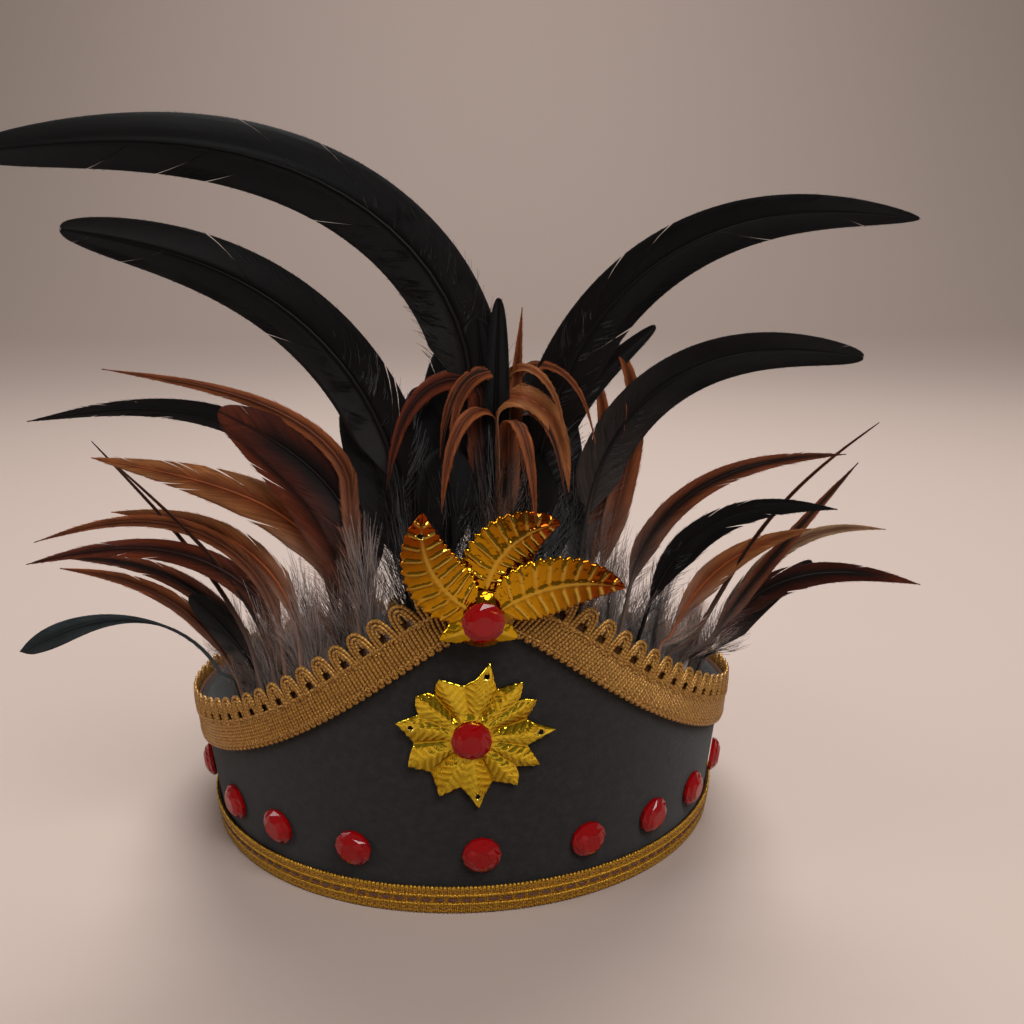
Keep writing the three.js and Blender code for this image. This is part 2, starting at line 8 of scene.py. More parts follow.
import bmesh
import bpy
import math
import numpy as np
from mathutils import Matrix, Vector


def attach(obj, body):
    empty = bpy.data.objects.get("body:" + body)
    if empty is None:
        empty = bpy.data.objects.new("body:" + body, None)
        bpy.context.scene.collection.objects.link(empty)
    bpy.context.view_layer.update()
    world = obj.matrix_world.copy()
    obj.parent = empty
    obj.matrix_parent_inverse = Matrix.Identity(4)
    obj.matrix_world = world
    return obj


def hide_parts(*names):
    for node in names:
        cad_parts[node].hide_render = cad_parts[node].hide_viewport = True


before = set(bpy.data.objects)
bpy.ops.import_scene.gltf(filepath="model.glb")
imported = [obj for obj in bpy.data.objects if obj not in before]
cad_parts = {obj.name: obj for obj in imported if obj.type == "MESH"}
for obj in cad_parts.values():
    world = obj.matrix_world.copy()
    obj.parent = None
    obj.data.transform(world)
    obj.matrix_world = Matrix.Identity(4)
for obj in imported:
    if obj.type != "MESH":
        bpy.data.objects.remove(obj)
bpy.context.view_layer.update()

MM = 0.001
TAU = 2 * math.pi

# Felt band
HEAD_RADIUS = 89
FELT = 2
FLARE = 0.13  # outward run of the wall for each millimetre of height
SIDE_HEIGHT = 41
PEAK_RISE = 67
PEAK_AZIMUTH = 6.5
PEAK_SPREAD = 58
PEAK_ROUNDING = 2.5
PEAK_POWER = 1.3
FELT_EDGE = 0.45  # rounding of the felt's cut edges
BAND_COLUMNS = 300
BAND_ROWS = 12

GAP = 0.3  # clearance between glued or sewn pieces

# Braids: the cords' radii, the pitch of one pass, and the loops' and rails' places
PLY = 0.62  # radius of a plaited strand as a share of the cord's
LOWER_BRAID = {"height": 10, "thickness": 1.6, "pitch": 1.3, "cord": 0.42, "picot": 1.1, "rails": 1.55,
               "twist": 2.4, "dash": 2.8, "dash_pitch": 4.1, "dash_radius": 0.36, "dots": 3,
               "dot_pitch": 2.05, "dot_radius": 0.2, "ring_points": 1400}
UPPER_BRAID = {"drop": 12, "thickness": 2, "scallop": 7.5, "cord": 0.66, "pitch": 1.25, "picot": 1.2,
               "header": 9.6, "slant": 1.6, "twist": 2.6, "ring_points": 1500}
SCALLOP_POINTS = 15
SCALLOP_CORDS = [  # half width, foot, top, radius and depth of each looped cord of a scallop
    (3.2, 8.2, 17.2, 0.62, -0.15), (2.05, 8.6, 15.9, 0.62, 0.0), (0.85, 12.4, 14.7, 0.5, -0.1),
]

# Red stones
STONE = {"radius": 6, "girdle": 1.2, "crown": 2.5, "height": 3.4, "sides": 12}
STONE_ROWS = [  # reach as a share of the radius, height, and turn in steps, of each ring of corners
    (0.985, 0, 0), (1, 0.25, 0), (1, STONE["girdle"], 0), (0.78, STONE["crown"], 0.5),
    (0.5, STONE["height"], 0),
]
BACKING = {"share": 0.93, "from": 0.12, "to": 0.32}
STONE_HEIGHT = 21
STONE_AZIMUTHS = [-75, -52, -37, -19, 5.5, 26.5, 43, 58, 76, 96, 116, 136, 157, 178, 199, 220, 241, 263]

# Stamped foil plates
FOIL = 0.6
SUNFLOWER = {"azimuth": 3.8, "height": 62, "disc": 6.8, "rise": 1.4, "valley": 17, "shoulder": 19.2,
             "shoulder_turn": 8, "ridge": 1.6, "tip_lift": 1.2, "wrap": 0.8, "hole_inset": 4.5,
             "vein_pitch": 2.3, "vein_depth": 0.32, "twist": 0.5}
PETALS = [
    {"turn": 13, "length": 25, "hole": True}, {"turn": 41, "length": 23, "hole": False},
    {"turn": 60, "length": 22.5, "hole": False}, {"turn": 89, "length": 25, "hole": True},
    {"turn": 118, "length": 23, "hole": False}, {"turn": 141, "length": 21.5, "hole": False},
    {"turn": 175, "length": 24.5, "hole": True}, {"turn": 207, "length": 21.5, "hole": False},
    {"turn": 243, "length": 21, "hole": False}, {"turn": 281, "length": 22.5, "hole": True},
    {"turn": 311, "length": 21, "hole": False}, {"turn": 335, "length": 21.5, "hole": False},
]
SUNFLOWER_COLUMNS = 8  # in half a petal
SUNFLOWER_ROWS = 24
HOLE_RADIUS = 0.8
LEAF_SEAT = {"azimuth": 5.6, "height": 101.5}
LEAF = {"tooth": 0.07, "teeth": 17, "rise": 0.45, "fall": 0.85, "ridge": 1.3, "rib_share": 0.4, "disc": 8.5,
        "bars": 10.5, "bar_depth": 0.45, "dome": 1.1}
LEFT_LEAF = {"x": -2, "y": 2.5, "start": -62, "end": 12, "length": 35, "width": 17, "curl": 1.5, "hole": 0.84}
RIGHT_LEAF = {"x": 4, "y": 2.5, "start": 54, "end": 112, "length": 38, "width": 17, "curl": -2.5, "hole": 0}
LEFT_TAB = {"x": 0, "y": -1, "start": -112, "end": -112, "length": 13, "width": 8, "curl": 0, "hole": 0}
RIGHT_TAB = {"x": 0, "y": -1, "start": 118, "end": 118, "length": 11, "width": 8, "curl": 0, "hole": 0}
SMALL_LEAF = 20  # a leaf shorter than this is a plain tab
MIDDLE_LEAF = {"x": 1, "y": 7, "start": 4, "end": 92, "length": 31, "width": 18, "curl": -3, "hole": 0}

# Plumes: a curved backing strip inside the wall, and the span of azimuth that it covers
STRIP = {"thickness": 1.8, "height": 17, "top": 5}
PLUMES = {"center_plume": (-9, 25), "left_plume": (-52, -12), "right_plume": (28, 64)}
SINK = 18  # depth below the wall's top edge at which a quill starts
BARE_QUILL = 22  # length of quill below the first barbs
RIM = {"clear": 0.6, "above": 13, "opening": 3.2}  # room that feathers leave to the wall and braid
CAMBER = 0.16  # how far a vane's edges bend back

# Vanes: the half width follows share^rise * (1 - share)^fall. Barbs leave the quill at `root` degrees
# and close to `tip` degrees. They part every `split` millimetres by up to `part` radians, and `fray`
# is how far, in millimetres, their ends stray from the vane's edge. `loose` is the fluffy first share
# and `fluff` the least reach of its barbs.
VANE_COLUMNS = ("rise", "fall", "root", "tip", "split", "part", "fray", "loose", "fluff")
VANES = {kind: dict(zip(VANE_COLUMNS, row)) for kind, row in {
    "tail": (0.3, 0.42, 36, 17, 60, 0.03, 0.35, 0.38, 9),
    "sickle": (0.3, 0.62, 30, 15, 60, 0.035, 0.35, 0.36, 9),
    "hackle": (0.5, 0.95, 20, 8, 26, 0.06, 0.7, 0.3, 6),
    "spoon": (5, 1.0, 40, 25, 200, 0, 0.2, 0.3, 2.5),
    "quill": (0.05, 0.4, 14, 6, 90, 0, 0.3, 0.12, 1.5),
}.items()}
BARB_STEPS = 8  # steps in which a barb's curve is followed to the vane's edge
ROW = 1.25  # length of quill for each row of a vane's sheet
SHEET = 0.14  # thickness of a vane
FRINGE = {"pitch": 0.6, "radius": 0.1, "from": 0.6}
FLUFF = {"pitch": 0.4, "radius": 0.07, "reach": 1.8, "longest": 17, "spread": 0.35, "wander": 3.5}
QUILL_FOOT = 0.85  # radius gained from the tip down to the foot
QUILL_TIP = 0.12

# Colours of a feather: beside the quill, at the vane's edge, at the tip and in the fluff at its foot
COATS = {
    "black": ("#050404", "#080606", "#080606", "#120d0b"),
    "smoky": ("#060505", "#0f0b0a", "#0c0908", "#4a413d"),
    "redblack": ("#0d0807", "#42180d", "#642a16", "#3a261e"),
    "russet": ("#220d08", "#6a2c15", "#57291a", "#5c4034"),
    "rust": ("#4c2412", "#93502c", "#824424", "#7a5f52"),
    "orange": ("#74391a", "#a2663a", "#955a33", "#94786a"),
    "brown": ("#130b08", "#7a4026", "#452217", "#6a5850"),
    "pale": ("#6a4630", "#b28d6c", "#8e664a", "#a59a96"),
    "slate": ("#15191a", "#272d2e", "#1f2526", "#4a4f50"),
}

# Each feather rises along its heading (90 is +X, -90 is -X, 0 is the front), leaning from the vertical
# by `lean` at its quill and `tip` at its end; it stays straight for a first share of its length.
TALL_LEFT = 245
SECOND_LEFT = 180
TALL_RIGHT = 197
SECOND_RIGHT = 152
COLUMNS = ("plume", "azimuth", "heading", "lean", "tip", "straight", "bend", "length", "width", "roll",
           "vane", "coat")
FEATHERS = [dict(zip(COLUMNS, row)) for row in [
    ("center_plume", 6, -95, 2, 95, 0.31, 0.85, TALL_LEFT, 19.6, 8, "tail", "black"),
    ("center_plume", -4, -93, 4, 80, 0.2, 1.35, SECOND_LEFT, 19, -6, "tail", "black"),
    ("center_plume", 12.5, 94, 4, 96, 0.18, 1.55, TALL_RIGHT, 17, 6, "sickle", "black"),
    ("center_plume", 19.5, 92, 9, 98, 0.33, 1.25, SECOND_RIGHT, 13, -8, "tail", "smoky"),
    ("center_plume", 16, 100, 0, 52, 0.4, 1.15, 110, 8, 10, "tail", "black"),
    ("center_plume", 6, -100, -4, -2, 0.3, 1, 98, 8, 0, "tail", "black"),
    ("center_plume", 1, 180, -4, 24, 0.3, 1, 92, 20, 90, "tail", "black"),
    ("center_plume", 14, 170, -4, 22, 0.3, 1, 88, 20, 90, "tail", "black"),
    ("center_plume", -5, -110, 6, 24, 0.3, 1, 83, 18, 10, "tail", "black"),
    ("center_plume", 20, 110, 6, 24, 0.3, 1, 81, 18, -10, "tail", "black"),
    ("center_plume", 8, -90, 0, 6, 0.3, 1, 93, 18, 4, "tail", "black"),
    ("center_plume", 10, 90, 1, 5, 0.3, 1, 97, 5, 0, "hackle", "rust"),
    ("center_plume", 9, -70, -3, 180, 0.66, 0.62, 115, 5, 30, "hackle", "rust"),
    ("center_plume", 9, 72, -2, 176, 0.61, 0.72, 110, 10, -40, "hackle", "orange"),
    ("center_plume", 8, -40, 0, 172, 0.62, 0.6, 105, 6, 70, "hackle", "rust"),
    ("center_plume", 10, 20, 2, 172, 0.62, 0.6, 103, 6, 80, "hackle", "rust"),
    ("center_plume", 6, -88, 0, 170, 0.6, 0.6, 120, 7, 20, "hackle", "russet"),
    ("center_plume", 22, 90, 13, -31, 0.6, 1.7, 110, 8, 20, "hackle", "rust"),
    ("center_plume", 21, 92, 10, -14, 0.5, 1.4, 100, 6, -10, "hackle", "rust"),
    ("left_plume", -15, -94, 2, 82, 0.47, 0.55, 151, 5, 10, "hackle", "rust"),
    ("left_plume", -17, -88, -5, 62, 0.38, 1.05, 111, 18, 0, "tail", "redblack"),
    ("left_plume", -20, -84, -4, 50, 0.41, 0.8, 105, 15, 12, "hackle", "russet"),
    ("left_plume", -19, -98, -1, 100, 0.32, 0.85, 170, 9, -10, "hackle", "smoky"),
    ("left_plume", -24, -86, -6, 78, 0.38, 0.56, 132, 14, 6, "hackle", "orange"),
    ("left_plume", -31, -96, 5, 108, 0.3, 1, 134, 5, 0, "hackle", "rust"),
    ("left_plume", -34, -88, -4, 103, 0.2, 1.05, 127, 8, 14, "hackle", "russet"),
    ("left_plume", -42, -96, 13, 84, 0.2, 1.3, 99, 7, -12, "hackle", "rust"),
    ("left_plume", -38, -104, 8, 92, 0.2, 1.1, 111, 7, 0, "hackle", "brown"),
    ("left_plume", -28, -104, 2, 90, 0.3, 1, 114, 9, -8, "hackle", "orange"),
    ("left_plume", -36, -92, 11, 41, 0.3, 0.62, 116, 1.6, 0, "quill", "brown"),
    ("left_plume", -33, -92, 8, 46, 0.3, 0.7, 108, 1.6, 0, "quill", "brown"),
    ("left_plume", -37, -98, 6, 46, 0.3, 0.8, 61, 11, 0, "tail", "smoky"),
    ("left_plume", -43, -86, 19, 118, 0.28, 1.1, 104, 7, 15, "spoon", "slate"),
    ("right_plume", 29, 93, 11, 88, 0.32, 1.1, 120, 7, -10, "hackle", "brown"),
    ("right_plume", 32, 89, 15, 96, 0.3, 1.4, 105, 10, 8, "hackle", "black"),
    ("right_plume", 36, 96, 23, 78, 0.33, 1.45, 87, 9, 0, "hackle", "orange"),
    ("right_plume", 39, 90, 28, 53, 0.45, 1.35, 120, 1.6, 0, "quill", "brown"),
    ("right_plume", 42, 98, 32, 43, 0.28, 0.95, 107, 6, 10, "hackle", "brown"),
    ("right_plume", 46, 92, 26, 104, 0.32, 1.05, 110, 9, -8, "hackle", "redblack"),
    ("right_plume", 44, 104, 31, 98, 0.41, 1.45, 110, 6, 0, "hackle", "pale"),
    ("right_plume", 52, 102, 22, 58, 0.3, 1, 76, 9, 0, "tail", "smoky"),
]]

# Soft feathers that fill the centre plume behind its long ones, and the thin hackles that droop with the
# wide ones
FILLERS = [dict(zip(COLUMNS, row)) for row in [
    ("center_plume", -4, 180, -2, 16, 0.3, 1, 84, 17, 90, "tail", "black"),
    ("center_plume", 4.5, 180, -2, 14, 0.3, 1, 80, 17, 90, "tail", "black"),
    ("center_plume", 18.5, 170, -2, 16, 0.3, 1, 82, 17, 90, "tail", "black"),
    ("center_plume", 0.5, 180, -6, 4, 0.3, 1, 62, 20, 90, "tail", "black"),
    ("center_plume", 13.5, 175, -6, 4, 0.3, 1, 62, 20, 90, "tail", "black"),
    ("center_plume", 8, -80, -2, 176, 0.68, 0.6, 112, 3, 30, "hackle", "rust"),
    ("center_plume", 7, -60, -3, 170, 0.7, 0.6, 108, 3, 40, "hackle", "brown"),
    ("center_plume", 11, 60, -1, 172, 0.7, 0.65, 112, 3.4, -30, "hackle", "orange"),
    ("center_plume", 12, 78, 0, 168, 0.68, 0.7, 116, 3, -20, "hackle", "rust"),
    ("center_plume", 13, 40, -2, 170, 0.66, 0.6, 104, 3, -40, "hackle", "brown"),
]]

# Down: short fluffy locks at the foot of each plume, evenly spread over a span of azimuth
DOWN = {
    "center_plume": {"from": -6, "to": 23, "count": 5, "lean": 4, "length": 54, "width": 14,
                     "radius": 0.11, "colors": ("#0b0908", "#2a2422")},
    "left_plume": {"from": -49, "to": -14, "count": 7, "lean": 10, "length": 50, "width": 12,
                   "radius": 0.1, "colors": ("#46322a", "#a2928b")},
    "right_plume": {"from": 30, "to": 62, "count": 6, "lean": 10, "length": 48, "width": 12,
                    "radius": 0.1, "colors": ("#45372f", "#9c918b")},
}
DOWN_FAN = {"turn": 1.6, "back": 0.4, "shorter": 0.18, "straight": 0.3}
DOWN_FIBRES = 360

# Grain of each finish, in millimetres
FELT_FIBRE = 0.35
FELT_MOTTLE = 2.5
FILM_TURN = 0.55
GIMP_GLINT_FLECK = 0.5
GIMP_GLITTER = 0.16
THREAD_TWIST = 0.25
FOIL_BUCKLE = 2.6
FOIL_SCUFF = 1.2
BARB_LINE = 0.5
BARB_STREAK = 1.1
FEATHER_PATCH = 9

# Floor, light and camera: the floor and lamps in metres, the camera's place in millimetres
FLOOR = {"color": "#ab998f", "reach": 3.0, "width": 12.0, "bend": 1.5, "wall": 5.0}
SKY = {"color": "#c9c8c8", "strength": 0.3}
LAMPS = [  # name, place, target, width and power
    ("key", (0.55, -1.0, 1.3), (0, 0, 0.1), 0.9, 19), ("left", (-1.2, -0.5, 0.7), (0, 0, 0.1), 0.6, 5),
    ("top", (0.1, 0.7, 1.5), (0, 0, 0.1), 1.1, 24), ("wall", (0, 2.6, 3.4), (0, 4.4, 1), 2.5, 78),
]
CAMERA = {"place": (18.88, -399.71, 194.47), "down": 12.298, "roll": -0.3268, "lens": 38.67, "sensor": 36}


def wall_point(azimuth, height, offset):
    radius = HEAD_RADIUS + FELT + FLARE * height + offset
    return np.stack([radius * np.sin(azimuth), -radius * np.cos(azimuth), height + 0 * radius], -1)


def edge_height(azimuth):
    """Height of the felt's top edge: a level rim with one rounded peak at the front."""
    turn = azimuth - math.radians(PEAK_AZIMUTH)
    away = np.abs(np.arctan2(np.sin(turn), np.cos(turn))) * HEAD_RADIUS
    reach = (np.hypot(away, PEAK_ROUNDING) - PEAK_ROUNDING) / PEAK_SPREAD
    return SIDE_HEIGHT + PEAK_RISE * np.exp(-(reach ** PEAK_POWER))


def linear(color):
    """A hex sRGB colour as linear RGBA."""
    parts = [int(color[i:i + 2], 16) / 255 for i in (1, 3, 5)]
    return [c / 12.92 if c <= 0.04045 else ((c + 0.055) / 1.055) ** 2.4 for c in parts] + [1]


def tone(color):
    """A hex sRGB colour as a linear RGB array."""
    return np.array(linear(color)[:3])


def smooth(low, high, value):
    share = np.clip((value - low) / (high - low), 0, 1)
    return share * share * (3 - 2 * share)


def mix(a, b, share):
    return a + (b - a) * share[..., None]


# Node trees

def add(tree, kind, inputs=(), stops=(), **settings):
    """Adds a node with its settings, colour stops and links. An input is a value, a socket, or a node
    whose first output it takes."""
    node = tree.nodes.new(kind)
    for key, value in settings.items():
        setattr(node, key, value)
    for i, (position, color) in enumerate(stops):
        element = node.color_ramp.elements[i] if i < 2 else node.color_ramp.elements.new(position)
        element.position = position
        element.color = linear(color)
    for key, value in dict(inputs).items():
        if isinstance(value, bpy.types.Node):
            value = value.outputs[0]
        if isinstance(value, bpy.types.NodeSocket):
            tree.links.new(value, node.inputs[key])
        else:
            node.inputs[key].default_value = value
    return node


def surface(name, color, roughness, **values):
    """A Principled material, and its tree, shader and object coordinates in millimetres."""
    material = bpy.data.materials.new(name)
    material.use_nodes = True
    tree = material.node_tree
    shader = tree.nodes["Principled BSDF"]
    shader.inputs["Base Color"].default_value = linear(color)
    shader.inputs["Roughness"].default_value = roughness
    for key, value in values.items():
        shader.inputs[key.replace("_", " ")].default_value = value
    place = add(tree, "ShaderNodeTexCoord").outputs["Object"]
    spot = add(tree, "ShaderNodeVectorMath", {0: place, "Scale": 1 / MM}, operation="SCALE")
    return material, tree, shader, spot


def craft_felt():
    """Craft felt: polyester fibre needle-punched into a flat sheet and dyed charcoal. The short nap keeps
    it matt, and uneven fibres mottle it a little."""
    material, tree, shader, spot = surface("craft_felt", "#1c1a19", 0.96, Sheen_Weight=0.12,
                                           Sheen_Roughness=0.5, Specular_IOR_Level=0.25)
    fibres = add(tree, "ShaderNodeTexNoise", {"Vector": spot, "Scale": 1 / FELT_FIBRE, "Detail": 6})
    patches = add(tree, "ShaderNodeTexNoise", {"Vector": spot, "Scale": 1 / FELT_MOTTLE, "Detail": 3})
    blend = add(tree, "ShaderNodeMath", {0: fibres, 1: patches}, operation="ADD")
    spread = add(tree, "ShaderNodeMapRange", {"Value": blend, "From Min": 0.6, "From Max": 1.4})
    color = add(tree, "ShaderNodeValToRGB", {0: spread}, [(0, "#151312"), (0.5, "#1d1b1a"), (1, "#2a2725")])
    nap = add(tree, "ShaderNodeBump", {"Height": fibres, "Distance": 0.25 * MM, "Strength": 1})
    tree.links.new(color.outputs[0], shader.inputs["Base Color"])
    tree.links.new(nap.outputs[0], shader.inputs["Normal"])
    return material


def metallic_gimp(name, deep, body, bright, metal):
    """Gimp yarn: metallised film wound round a cotton core and looped into braid by machine. The turns of
    film are painted as fine slanting stripes, with flecks over them: painted glints where they are light and
    painted shade where they are dark, over the yarn's own colour. The turns' edges glitter."""
    material, tree, shader, spot = surface(name, body, 0.36, Metallic=metal, Specular_IOR_Level=0.6)
    run = add(tree, "ShaderNodeAttribute", attribute_name="run").outputs["Fac"]
    around = add(tree, "ShaderNodeAttribute", attribute_name="around").outputs["Fac"]
    per_metre = 1 / (FILM_TURN * MM)
    turns = add(tree, "ShaderNodeMath", {0: run, 1: per_metre, 2: around}, operation="MULTIPLY_ADD")
    wound = add(tree, "ShaderNodeMath", {0: turns, 1: 1.0}, operation="PINGPONG")
    glint_flecks = add(tree, "ShaderNodeTexNoise", {"Vector": spot, "Scale": 1 / GIMP_GLINT_FLECK, "Detail": 3})
    glitter = add(tree, "ShaderNodeTexNoise", {"Vector": spot, "Scale": 1 / GIMP_GLITTER, "Detail": 1})
    # Painted glints and painted shade: the stripes of the film's turns and the flecks make the colour lighter
    # and darker.
    shade = add(tree, "ShaderNodeMath", {0: wound, 1: 0.35, 2: glint_flecks}, operation="MULTIPLY_ADD")
    spread = add(tree, "ShaderNodeMapRange", {"Value": shade, "From Min": 0.35, "From Max": 1.0})
    color = add(tree, "ShaderNodeValToRGB", {0: spread}, [(0, deep), (0.45, body), (1, bright)])
    polish = add(tree, "ShaderNodeMapRange", {"Value": glitter, "From Min": 0.45, "From Max": 0.62,
                                              "To Min": 0.22, "To Max": 0.55})
    relief = add(tree, "ShaderNodeBump", {"Height": shade, "Distance": 0.12 * MM, "Strength": 1})
    tree.links.new(color.outputs[0], shader.inputs["Base Color"])
    tree.links.new(polish.outputs[0], shader.inputs["Roughness"])
    tree.links.new(relief.outputs[0], shader.inputs["Normal"])
    return material


def cotton_thread():
    """Mercerised cotton thread: twisted, dyed maroon and woven into the braid's groove. It is dark, with a
    soft sheen beside the bright yarn."""
    material, tree, shader, spot = surface("cotton_thread", "#4a1210", 0.6, Sheen_Weight=0.2)
    twist = add(tree, "ShaderNodeTexNoise", {"Vector": spot, "Scale": 1 / THREAD_TWIST, "Detail": 2})
    relief = add(tree, "ShaderNodeBump", {"Height": twist, "Distance": 0.08 * MM, "Strength": 1})
    tree.links.new(relief.outputs[0], shader.inputs["Normal"])
    return material


def gold_foil():
    """Metallised gold film: vacuum-coated polyester sheet stamped in a press. It mirrors its surroundings and
    is a little buckled. Its colour, stored on each point, runs from lemon to amber: partly the foil's own
    tint, partly painted highlight on raised veins, ribs and bars and painted shade between them and on the
    disc under the leaf stone."""
    material, tree, shader, spot = surface("gold_foil", "#d8b12c", 0.12, Metallic=1.0)
    tint = add(tree, "ShaderNodeAttribute", attribute_name="shade").outputs["Color"]
    buckles = add(tree, "ShaderNodeTexNoise", {"Vector": spot, "Scale": 1 / FOIL_BUCKLE, "Detail": 2})
    scuffs = add(tree, "ShaderNodeTexNoise", {"Vector": spot, "Scale": 1 / FOIL_SCUFF, "Detail": 3})
    polish = add(tree, "ShaderNodeMapRange", {"Value": scuffs, "From Min": 0.3, "From Max": 0.7,
                                              "To Min": 0.05, "To Max": 0.16})
    relief = add(tree, "ShaderNodeBump", {"Height": buckles, "Distance": 0.4 * MM, "Strength": 1})
    tree.links.new(tint, shader.inputs["Base Color"])
    tree.links.new(polish.outputs[0], shader.inputs["Roughness"])
    tree.links.new(relief.outputs[0], shader.inputs["Normal"])
    return material


def red_acrylic():
    """Red acrylic: clear PMMA tinted red and injection-moulded with polished facets. Light passes in and
    comes back deeper red, with sharp highlights on the facets."""
    return surface("red_acrylic", "#b80207", 0.04, Transmission_Weight=0.55, IOR=1.42)[0]


def mirror_backing():
    """Mirror backing: silvered lacquer sprayed under the stone, which throws its colour back."""
    return surface("mirror_backing", "#a01014", 0.3, Metallic=1.0)[0]


def feather_keratin(name, roughness, sheen, tint):
    """Feather keratin: barbs of a dyed cock feather, each locked to the next. Fine lines follow the barbs,
    with streaks of lighter and darker ones, under a satin light."""
    material, tree, shader, spot = surface(name, "#100e0d", roughness, Sheen_Weight=sheen,
                                           Sheen_Roughness=0.35, Specular_IOR_Level=0.13)
    shader.inputs["Sheen Tint"].default_value = linear(tint)
    shade = add(tree, "ShaderNodeAttribute", attribute_name="shade").outputs["Color"]
    barb = add(tree, "ShaderNodeAttribute", attribute_name="barb").outputs["Fac"]
    across = add(tree, "ShaderNodeAttribute", attribute_name="across").outputs["Fac"]
    weave = add(tree, "ShaderNodeCombineXYZ", {0: barb, 1: across})
    streaks = add(tree, "ShaderNodeTexNoise", {"Vector": weave, "Scale": 1 / BARB_STREAK, "Detail": 4})
    patches = add(tree, "ShaderNodeTexNoise", {"Vector": spot, "Scale": 1 / FEATHER_PATCH, "Detail": 2})
    streak = add(tree, "ShaderNodeMapRange", {"Value": streaks, "From Min": 0.25, "From Max": 0.75,
                                              "To Min": 0.6, "To Max": 1.4})
    patch = add(tree, "ShaderNodeMapRange", {"Value": patches, "From Min": 0.3, "From Max": 0.7,
                                             "To Min": 0.8, "To Max": 1.2})
    change = add(tree, "ShaderNodeMath", {0: streak, 1: patch}, operation="MULTIPLY")
    color = add(tree, "ShaderNodeVectorMath", {0: shade, "Scale": change}, operation="SCALE")
    lines = add(tree, "ShaderNodeMath", {0: barb, 1: TAU / BARB_LINE}, operation="MULTIPLY")
    wave = add(tree, "ShaderNodeMath", {0: lines}, operation="SINE")
    relief = add(tree, "ShaderNodeBump", {"Height": wave, "Distance": 0.05 * MM, "Strength": 1})
    tree.links.new(color.outputs[0], shader.inputs["Base Color"])
    tree.links.new(relief.outputs[0], shader.inputs["Normal"])
    return material


# Meshes

def make_object(name, points, faces, materials, rounded=True):
    """Makes a closed mesh from millimetre points."""
    mesh = bpy.data.meshes.new(name)
    mesh.from_pydata((np.asarray(points, float) * MM).tolist(), [], faces)
    mesh.validate()
    for material in materials:
        mesh.materials.append(material)
    mesh.polygons.foreach_set("use_smooth", [rounded] * len(mesh.polygons))
    piece = bpy.data.objects.new(name, mesh)
    bpy.context.scene.collection.objects.link(piece)
    return piece


def turned_out(piece):
    """Turns every face of a closed mesh outwards."""
    shape = bmesh.new()
    shape.from_mesh(piece.data)
    bmesh.ops.recalc_face_normals(shape, faces=shape.faces)
    shape.to_mesh(piece.data)
    shape.free()
    return piece


def skin(rings, closed):
    """Points and outward faces of a tube of equal rings; an open tube gets flat ends."""
    rings = np.asarray(rings, float)
    spans, count = rings.shape[:2]
    faces = []
    for i in range(spans if closed else spans - 1):
        a, b = i * count, ((i + 1) % spans) * count
        for j in range(count):
            k = (j + 1) % count
            faces.append((a + j, a + k, b + k, b + j))
    if not closed:
        faces.append(tuple(reversed(range(count))))
        faces.append(tuple(range((spans - 1) * count, spans * count)))
    return rings.reshape(-1, 3), faces


def grid_plate(top, under, closed, shade):
    """Points, faces and colours of a sheet with two sides: arrays of rows by columns."""
    rows, columns = top.shape[:2]
    points = np.concatenate([top.reshape(-1, 3), under.reshape(-1, 3)])
    back = rows * columns
    spans = columns if closed else columns - 1
    faces = []
    for i in range(rows - 1):
        for j in range(spans):
            k = (j + 1) % columns
            a, b, c, d = i * columns + j, i * columns + k, (i + 1) * columns + k, (i + 1) * columns + j
            faces += [(a, b, c, d), (back + d, back + c, back + b, back + a)]
    for j in range(spans):
        k = (j + 1) % columns
        for row, order in ((0, (0, 1)), (rows - 1, (1, 0))):
            a, b = [row * columns + (j, k)[n] for n in order]
            faces.append((b, a, back + a, back + b))
    if not closed:
        for i in range(rows - 1):
            for column, order in ((0, (1, 0)), (columns - 1, (0, 1))):
                a, b = [(i, i + 1)[n] * columns + column for n in order]
                faces.append((b, a, back + a, back + b))
    return points, faces, np.concatenate([shade.reshape(-1, 3)] * 2)


def paint(piece, shade):
    """Stores a colour for each point of a mesh."""
    layer = piece.data.attributes.new("shade", "FLOAT_COLOR", "POINT")
    layer.data.foreach_set("color", np.concatenate([shade, np.ones((len(shade), 1))], 1).ravel())


class Strands:
    """Paths that a round cord or fibre follows, as arrays of lines by points."""

    def __init__(self):
        self.sets = []

    def add(self, lines, radius, shade, wave=0.0, ring=False):
        lines = np.asarray(lines, float)
        shape = lines.shape[:2]
        radius = np.broadcast_to(radius, shape)
        shade = np.broadcast_to(np.asarray(shade, float)[..., :3], shape + (3,))
        self.sets.append((lines, radius, shade, np.broadcast_to(wave, shape), ring))

    def guide(self, name):
        """One mesh of loose paths, with the radius, colour and waviness of each point."""
        points, edges, radius, shade, wave = [], [], [], [], []
        start = 0
        for lines, radii, colors, waves, ring in self.sets:
            count, length = lines.shape[:2]
            first = start + np.arange(count)[:, None] * length + np.arange(length - 1)[None]
            edges.append(np.stack([first, first + 1], -1).reshape(-1, 2))
            if ring:
                ends = start + np.arange(count) * length
                edges.append(np.stack([ends + length - 1, ends], -1))
            points.append(lines.reshape(-1, 3))
            radius.append(radii.ravel())
            shade.append(colors.reshape(-1, 3))
            wave.append(waves.ravel())
            start += count * length
        points, edges = np.concatenate(points) * MM, np.concatenate(edges)
        mesh = bpy.data.meshes.new(name)
        mesh.vertices.add(len(points))
        mesh.vertices.foreach_set("co", points.ravel())
        mesh.edges.add(len(edges))
        mesh.edges.foreach_set("vertices", edges.ravel())
        for key, values in (("thickness", radius), ("wave", wave)):
            mesh.attributes.new(key, "FLOAT", "POINT").data.foreach_set("value", np.concatenate(values) * MM)
        piece = bpy.data.objects.new(name, mesh)
        paint(piece, np.concatenate(shade))
        mesh.update()
        return piece


